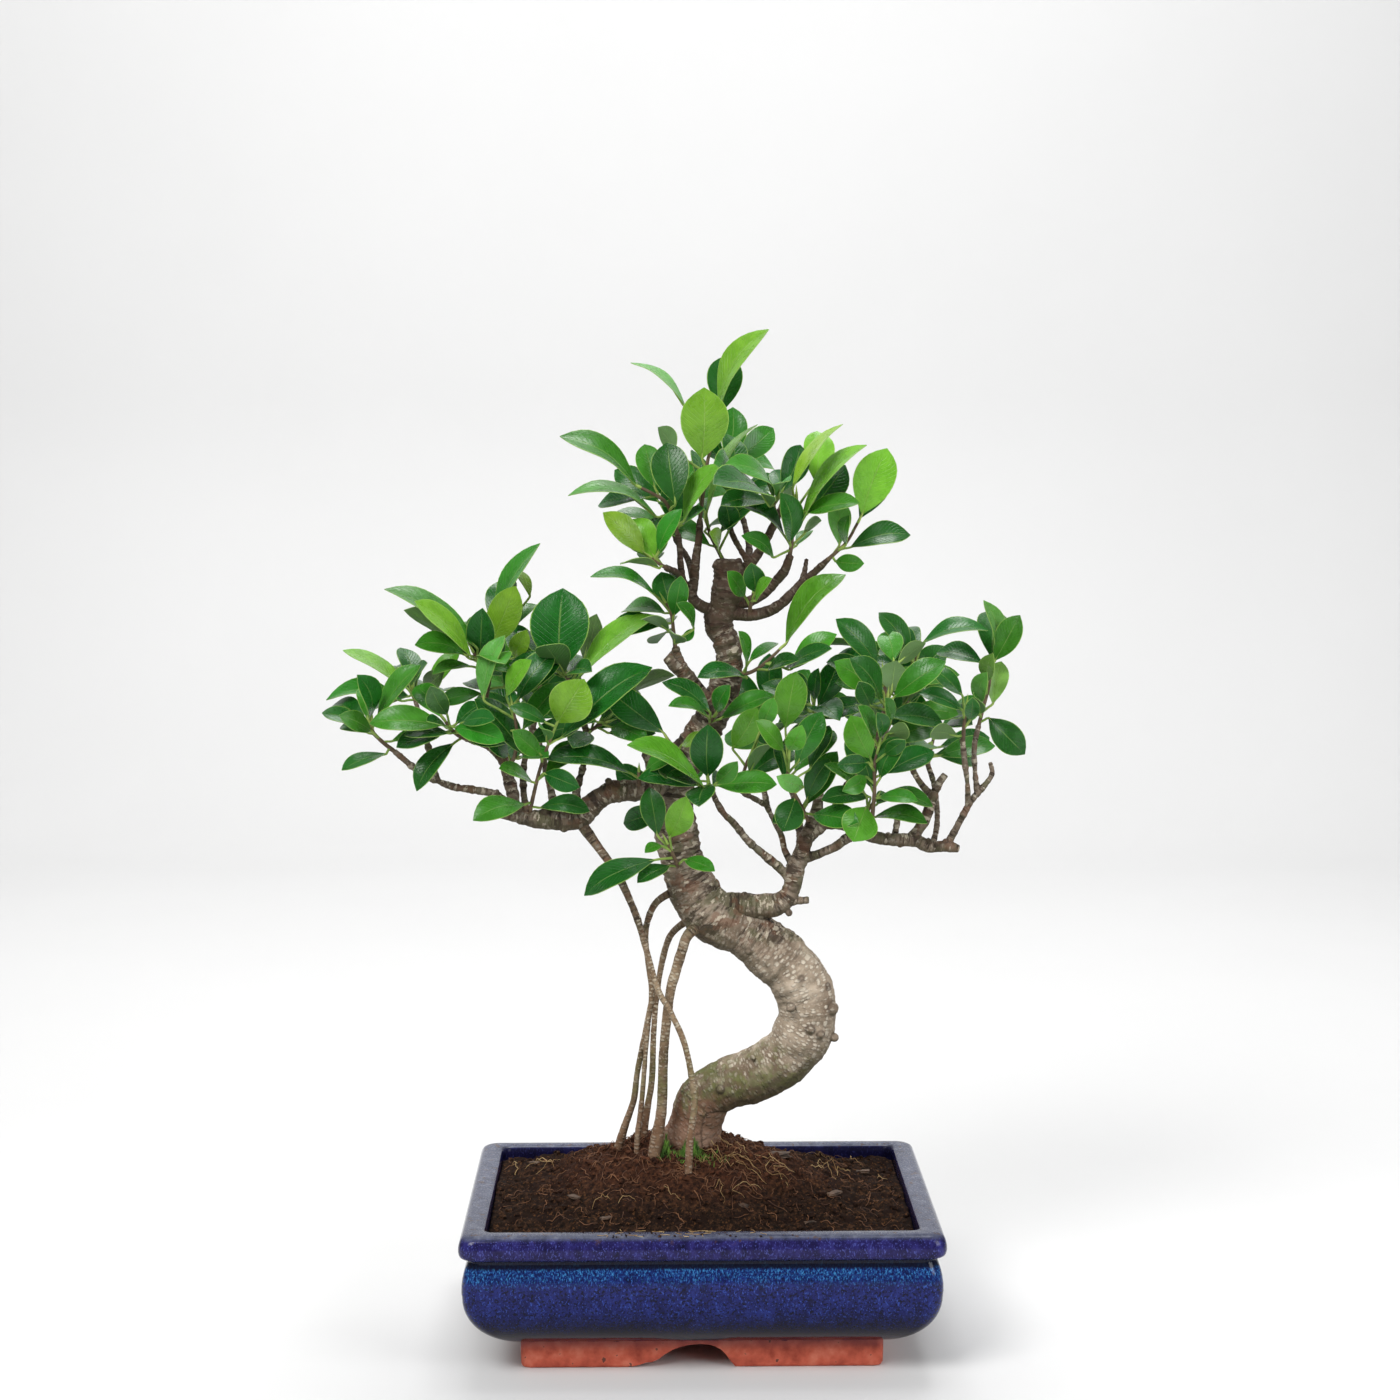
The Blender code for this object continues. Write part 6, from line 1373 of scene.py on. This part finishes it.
        (40, 293, 62, 298, 13, 20, 0.08, "dark"), (35, 292, 12, 298, 13, 20, 0.06, "leaf"),
        (34, 312, 34, 338, 14, 4, 0.06, "dark")]),
    "shoot_back_right": ([(91.5, 299, 41.4), (96, 310, 50), (98, 320, 55)], [
        (100, 323, 120, 342, 14, 12, 0.06, "dark"), (96, 323, 80, 344, 14, 10, 0.06, "leaf"),
        (97, 305, 118, 308, 13, 20, 0.08, "dark"), (91, 306, 70, 312, 13, 20, 0.06, "dark"),
        (98, 324, 100, 350, 14, 4, 0.06, "leaf")]),
    "shoot_back_far_right": ([(112.3, 283, 37), (114, 292, 44), (116, 300, 48)], [
        (119, 302, 138, 316, 13, 12, 0.06, "leaf"), (114, 303, 100, 318, 13, 12, 0.06, "dark"),
        (116, 288, 136, 286, 12, 18, 0.08, "dark"), (110, 289, 90, 284, 12, 16, 0.06, "leaf")]),
    "shoot_back_trunk": ([(-12, 256, 6), (-14, 262, 20), (-18, 268, 28)], [
        (-20, 270, -42, 282, 13, 10, 0.08, "dark"), (-15, 271, 2, 286, 13, 14, 0.06, "leaf"),
        (-17, 261, -38, 254, 12, 14, 0.08, "dark")]),
}


def freeStem(stem):
    # places along the stem where a leaf may grow
    samples = [start.lerp(end, part / 8) for start, end in zip(stem, stem[1:]) for part in range(8)]
    return [place for place in [*samples, stem[-1]] if (place - stem[0]).length > leafSizes["bareStem"] * mm]


def stemPoint(stem, base):
    free = freeStem(stem)
    nearest = min(range(len(free)), key=lambda index: (free[index] - base).length)
    back = nearest
    while back > 0 and (free[back] - free[nearest]).length < leafSizes["stalkRun"] * mm:
        back -= 1
    return free[back]


def leafFrame(leaf, stem, shift, extra):
    baseX, baseZ, tipX, tipZ, breadth, swing, arch, tone = leaf
    rough = min(stem, key=lambda place: (place - at(baseX, baseZ, (place.y - potMiddle.y) / mm)).length)
    baseY = (rough.y - potMiddle.y) / mm + 0.2 * swing + shift
    base = at(baseX, baseZ, baseY)
    tip = at(tipX, tipZ, baseY + swing + extra)
    along = (tip - base).normalized()
    rising = Vector((-along.z, 0.0, along.x)).normalized()
    if rising.z < 0:
        rising = -rising
    facing = Vector((0.0, -1.0 if breadth > 0 else 1.0, 0.0))
    full = min(max(leafSizes["ratio"] * (tip - base).length / mm, abs(breadth)), leafSizes["broadest"])
    share = min(1.0, abs(breadth) / full)
    normal = facing * share + rising * math.sqrt(1.0 - share**2)
    normal = (normal - along * normal.dot(along)).normalized()
    return stemPoint(stem, base), base, tip, normal, full


def archedPoint(base, tip, normal, arch, share):
    return base.lerp(tip, share) + normal * (tip - base).length * arch * math.sin(share * math.pi)


def leafPlaces(nodeTree, leaf, stem):
    # The turn at which this leaf grows in the solid shoot: the one whose blade lies nearest its points.
    shifts = (0, 3, -3, 6, -6, 9, -9)
    swings = (0, 6, -6, 12, -12, 18, -18, 25, -25, 32, -32)
    best = None
    for shift in shifts:
        for extra in swings:
            start, base, tip, normal, full = leafFrame(leaf, stem, shift, extra)
            side = (tip - base).normalized().cross(normal) * full * mm / 2
            middle, outer = (archedPoint(base, tip, normal, leaf[6], share) for share in (0.32, 0.68))
            tests = (tip, middle + side * 0.94, middle - side * 0.94, outer + side * 0.82,
                     outer - side * 0.82)
            miss = sum(min(nodeTree.find(place)[2], 4 * mm) for place in tests)
            miss += 0.00001 * (abs(shift) + abs(extra)) * mm
            if best is None or miss < best[0]:
                best = (miss, start, base, tip, normal, full)
    return best[1:]


def leafSheet(place, arch, dice):
    # One blade as rows of points: folded along the midrib, arched, with a curled tip and a wavy edge.
    _, base, tip, normal, full = place
    along = tip - base
    length = along.length
    side = along.normalized().cross(normal)
    shares = np.linspace(0.0, 1.0, leafSizes["along"] + 1) ** 0.94
    outline = np.array(leafOutline)
    widths = np.interp(shares, outline[:, 0], outline[:, 1]) * full * mm / 2
    bend, twist = dice.uniform(-0.045, 0.045) * length, dice.uniform(-0.22, 0.22)
    fold = leafSizes["fold"] * dice.uniform(0.55, 1.35)
    droop, wave = dice.uniform(0.0, 0.07) * length, dice.uniform(0, math.tau)
    points, places = [], []
    for share, half in zip(shares, widths):
        curl = droop * max(0.0, share - 0.62) ** 2 / 0.145
        centre = base + along * share + normal * (length * arch * math.sin(math.pi * share) - curl)
        centre = centre + side * bend * math.sin(math.pi * share)
        angle = twist * (share - 0.45)
        across = side * math.cos(angle) + normal * math.sin(angle)
        outward = normal * math.cos(angle) - side * math.sin(angle)
        for column in range(leafSizes["across"] + 1):
            u = -1.0 + 2.0 * column / leafSizes["across"]
            rise = fold * half * (abs(u) ** 0.9 - 0.28 * abs(u) ** 3)
            ripple = 0.035 * half * u * u * math.sin(9.0 * share + wave + (1.6 if u > 0 else 0.0))
            points.append(centre + across * half * u * (1.0 - 0.12 * fold) + outward * (rise + ripple))
            places.append((0.5 + 0.5 * u, share))
    return points, places


def woodMarks():
    # Where the wood is, as rows of x, y, z and radius, for the extra leaves to keep clear of.
    marks = []
    for facts in woodPieces.values():
        for run in facts["runs"].values():
            marks += [(*at(x, z, y), radius * mm) for x, z, y, radius in run]
            marks += [(*at(*np.add(start[:3], end[:3]) / 2), (start[3] + end[3]) / 2 * mm)
                      for start, end in zip(run, run[1:])]
    return marks


def leafMarks(place):
    _, base, tip, normal, full = place
    side = (tip - base).normalized().cross(normal) * full * mm / 2
    return [(*(base.lerp(tip, share) + side * sway), 0.0) for share in (0.1, 0.3, 0.5, 0.7, 0.9, 1.0)
            for sway in (-0.75, 0.0, 0.75)]


def within(window, base, tip):
    # whether either end lies in a window of (low x, high x, low z, high z)
    return any(window[0] < (place.x - potMiddle.x) / mm < window[1] and window[2] < place.z / mm < window[3]
               for place in (base, tip))


def extraLeaves(name, stem, marks):
    # Leaves that only fill the crown, put where they keep clear of all the others.
    dice = random.Random("extra " + name)
    middle = sum(place.z for place in stem) / len(stem)
    if name in sparseShoots or middle < leafSizes["lowestExtra"] * mm:
        return []
    samples, found = freeStem(stem), []
    most = leafSizes["crownExtras" if middle > leafSizes["crown"] * mm else "extras"]
    for _ in range(leafSizes["tries"]):
        start = dice.choice(samples)
        turn, lift = dice.uniform(0, math.tau), dice.uniform(-0.25, 1.15)
        heading = Vector((math.cos(turn) * math.cos(lift), math.sin(turn) * math.cos(lift), math.sin(lift)))
        length = dice.uniform(18, 32) * mm
        base = start + heading * dice.uniform(2.5, 6.0) * mm
        tip = base + heading * length
        normal = Vector((dice.uniform(-0.3, 0.3), -0.75, 0.75))
        normal = (normal - heading * normal.dot(heading)).normalized()
        place = (start, base, tip, normal, dice.uniform(0.44, 0.56) * length / mm)
        inside = all(low < value < high for low, value, high in zip(cadBounds[0], tip, cadBounds[1]))
        hidesTrunk = within(bareTrunk, base, tip) and start.y < potMiddle.y + leafSizes["nearFront"] * mm
        if not inside or hidesTrunk or within(bareTwigs, base, tip):
            continue
        fresh = leafMarks(place)
        others = np.array(marks)
        gaps = [np.min(np.linalg.norm(others[:, :3] - spot[:3], axis=1) - others[:, 3])
                for spot in np.array(fresh)]
        if min(gaps) < leafSizes["clear"] * mm:
            continue
        marks += fresh
        found.append((place, dice.uniform(0.03, 0.12), dice.choice(("dark", "dark", "leaf"))))
        if len(found) == most:
            break
    return found


def makeShoot(name, stem, placed, looks):
    dice = random.Random(name)
    points, faces, places, tones, stalks = [], [], [], [], []
    columns, rows = leafSizes["across"] + 1, leafSizes["along"] + 1
    for place, arch, toneName in placed:
        sheet, uv = leafSheet(place, arch, dice)
        first = len(points)
        points += sheet
        places += uv
        tone = np.array(leafTones[toneName]) * dice.uniform(0.8, 1.22)
        tone[0] *= dice.uniform(0.7, 1.25)
        tones += [(*tone, 1.0)] * len(sheet)
        start, base, tip, normal, _ = place
        for row in range(rows - 1):
            for column in range(columns - 1):
                low = first + row * columns + column
                faces.append((low, low + 1, low + columns + 1, low + columns))
        into, wide = archedPoint(base, tip, normal, arch, 0.30), leafSizes["stalk"] * mm
        stalks.append([(*start, 0.75 * mm), (*start.lerp(base, 0.55), wide),
                       (*(base - normal * 0.25 * mm), wide),
                       (*(base.lerp(into, 0.5) - normal * 0.45 * mm), 0.46 * mm),
                       (*(into - normal * 0.5 * mm), 0.2 * mm)])
    foliage = objectFrom("foliage_" + name.replace("shoot_", ""), points, faces)
    uvMap = foliage.data.uv_layers.new(name="blade")
    corners = np.array(places)[[loop.vertex_index for loop in foliage.data.loops]]
    uvMap.data.foreach_set("uv", corners.astype(np.float32).reshape(-1))
    setAttribute(foliage, "tone", "FLOAT_COLOR", tones)
    for side in ("upper", "under", "twig"):
        foliage.data.materials.append(looks[side])
    applyModifier(foliage, "SOLIDIFY", thickness=leafSizes["thickness"] * mm, offset=-1.0, use_rim=True,
                  material_offset=1, material_offset_rim=1)
    tubes = [shootTube(name + "_stalk", smoothPath(rowsOf, 1.2 * mm), 1, looks["stalk"]) for rowsOf in stalks]
    last = len(stem) - 1
    stemRows = [(*spot, leafSizes["stem"] * mm * (1.12 - 0.42 * index / last))
                for index, spot in enumerate(stem)]
    path = smoothPath(stemRows, 1.2 * mm)
    for number, row in enumerate(path):
        row[3] *= 1.0 + 0.13 * noise.noise(Vector((number * 0.6, len(placed) * 1.7, 0.0)))
    tubes.append(shootTube(name + "_stem", path, 2, looks["twig"]))
    tubes.append(shootTube(name + "_bud", budPath(path), 2, looks["bud"]))
    joinInto(foliage, tubes)
    choose(foliage)
    bpy.ops.object.shade_smooth_by_angle(angle=math.radians(50))
    finishPiece(foliage, "leaf", name)


def budPath(path):
    end, before = Vector(path[-1][:3]), Vector(path[-3][:3])
    ahead = (end - before).normalized()
    wide = path[-1][3]
    budShape = ((-0.8, 0.8), (0.0, 1.12), (1.4, 1.05), (3.2, 0.7), (5.0, 0.34), (6.4, 0.08))
    return np.array([(*(end + ahead * reach * mm), radius * wide) for reach, radius in budShape])


def shootTube(name, path, resolution, looks):
    tube = tubeAlong(name, path, resolution)
    tube.data.materials.clear()
    tube.data.materials.append(looks)
    return tube


def leafLooks(name, under):
    made, tree, shader = newMaterial(name)
    uv = addNode(tree, "UVMap", uv_map="blade").outputs["UV"]
    parts = addNode(tree, "SeparateXYZ", {"Vector": uv})
    across = reckon(tree, "ABSOLUTE", reckon(tree, "SUBTRACT", parts.outputs["X"], 0.5))
    along = parts.outputs["Y"]
    tone = attributeOf(tree, "tone", "Color")
    place = objectPlace(tree)
    blotch = noiseOf(tree, place, 140.0, 3.0)
    blotched = ramp(tree, blotch, (0.3, (0.78, 0.82, 0.75)), (0.7, (1.16, 1.12, 1.2)))
    tone = mixed(tree, 1.0, tone, blotched, "MULTIPLY")
    # side veins lean towards the tip
    slant = reckon(tree, "SUBTRACT", along, product(tree, across, 0.55))
    vein = step(tree, reckon(tree, "SINE", product(tree, slant, 88.0)), 0.72, 1.0)
    paler = mixed(tree, 1.0, tone, (1.55, 1.35, 1.3), "MULTIPLY")
    colour = over(tree, tone, paler, vein, 0.40 if under else 0.12)
    rib = product(tree, step(tree, across, 0.022, 0.008), step(tree, along, 1.0, 0.7))
    colour = over(tree, colour, over(tree, tone, (0.30, 0.46, 0.12), 0.45), rib, 0.75)
    colour = over(tree, colour, (0.30, 0.47, 0.09), step(tree, across, 0.474, 0.494), 0.75)
    if under:
        colour = over(tree, colour, (0.17, 0.27, 0.11), 0.38)
    tree.links.new(colour, shader.inputs["Base Color"])
    rough = reckon(tree, "ADD", 0.44 if under else 0.20, product(tree, blotch, 0.16))
    tree.links.new(rough, shader.inputs["Roughness"])
    shader.inputs["IOR"].default_value = 1.46
    shader.inputs["Specular IOR Level"].default_value = 0.20 if under else 0.38
    shader.inputs["Subsurface Weight"].default_value = 0.12
    shader.inputs["Subsurface Radius"].default_value = (0.6, 1.0, 0.2)
    shader.inputs["Subsurface Scale"].default_value = 0.002
    relief = reckon(tree, "ADD", product(tree, vein, -0.5), product(tree, rib, -1.0))
    relief = reckon(tree, "ADD", relief, product(tree, noiseOf(tree, place, 700.0, 2.0), 0.6))
    bumpOf(tree, shader, relief, 0.0005 if under else 0.00035, 0.6)
    return made


def makeFoliage():
    looks = {
        "upper": leafLooks("leafUpper", False), "under": leafLooks("leafUnder", True),
        "twig": strandLooks("greenTwig", (0.075, 0.048, 0.026), (0.17, 0.115, 0.062)),
        "stalk": strandLooks("leafStalk", (0.13, 0.24, 0.035), (0.30, 0.42, 0.085)),
        "bud": strandLooks("leafBud", (0.20, 0.34, 0.05), (0.42, 0.52, 0.13)),
    }
    marks = woodMarks()
    shoots = {}
    for name, (stemRun, leaves) in shootTable.items():
        cadPoints = pointArray(frame["nodes"][name])
        nodeTree = kdtree.KDTree(len(cadPoints))
        for index, point in enumerate(cadPoints):
            nodeTree.insert(point, index)
        nodeTree.balance()
        stem = [at(x, z, y) for x, z, y in stemRun]
        # young leaves are less yellow on the right of the tree than on the left and in the crown
        reach, high = (stem[-1].x - potMiddle.x) / mm, stem[-1].z / mm
        greener = high < 380 and reach > (-15 if high > 270 else 16)
        placed = []
        for leaf in leaves:
            tone = "bright" if greener and leaf[7] == "young" else leaf[7]
            placed.append((leafPlaces(nodeTree, leaf, stem), leaf[6], tone))
            marks += leafMarks(placed[-1][0])
        shoots[name] = (stem, placed)
    for name, (stem, placed) in shoots.items():
        makeShoot(name, stem, placed + extraLeaves(name, stem, marks), looks)
    print(len(shootTable), "shoots ready")


# Drain screens, which are the CAD's own

def screenLooks():
    made, tree, shader = newMaterial("screenPlastic")
    place = objectPlace(tree)
    black = ramp(tree, noiseOf(tree, place, 300.0), (0.3, (0.012, 0.012, 0.013)), (0.7, (0.03, 0.03, 0.032)))
    tree.links.new(black, shader.inputs["Base Color"])
    shader.inputs["Roughness"].default_value = 0.5
    bumpOf(tree, shader, noiseOf(tree, place, 2000.0, 2.0), 0.0001, 0.4)
    return made


def dressScreens():
    looks = screenLooks()
    for name in ("drain_screen_left", "drain_screen_right"):
        node = frame["nodes"][name]
        node.data.materials.clear()
        node.data.materials.append(looks)


makeStage()
makePot()
makeSoil()
makeCrumbs()
makeFibres()
makeMoss()
makeBarkChips()
print("soil ready")
makeAllWood()
makeFoliage()
dressScreens()
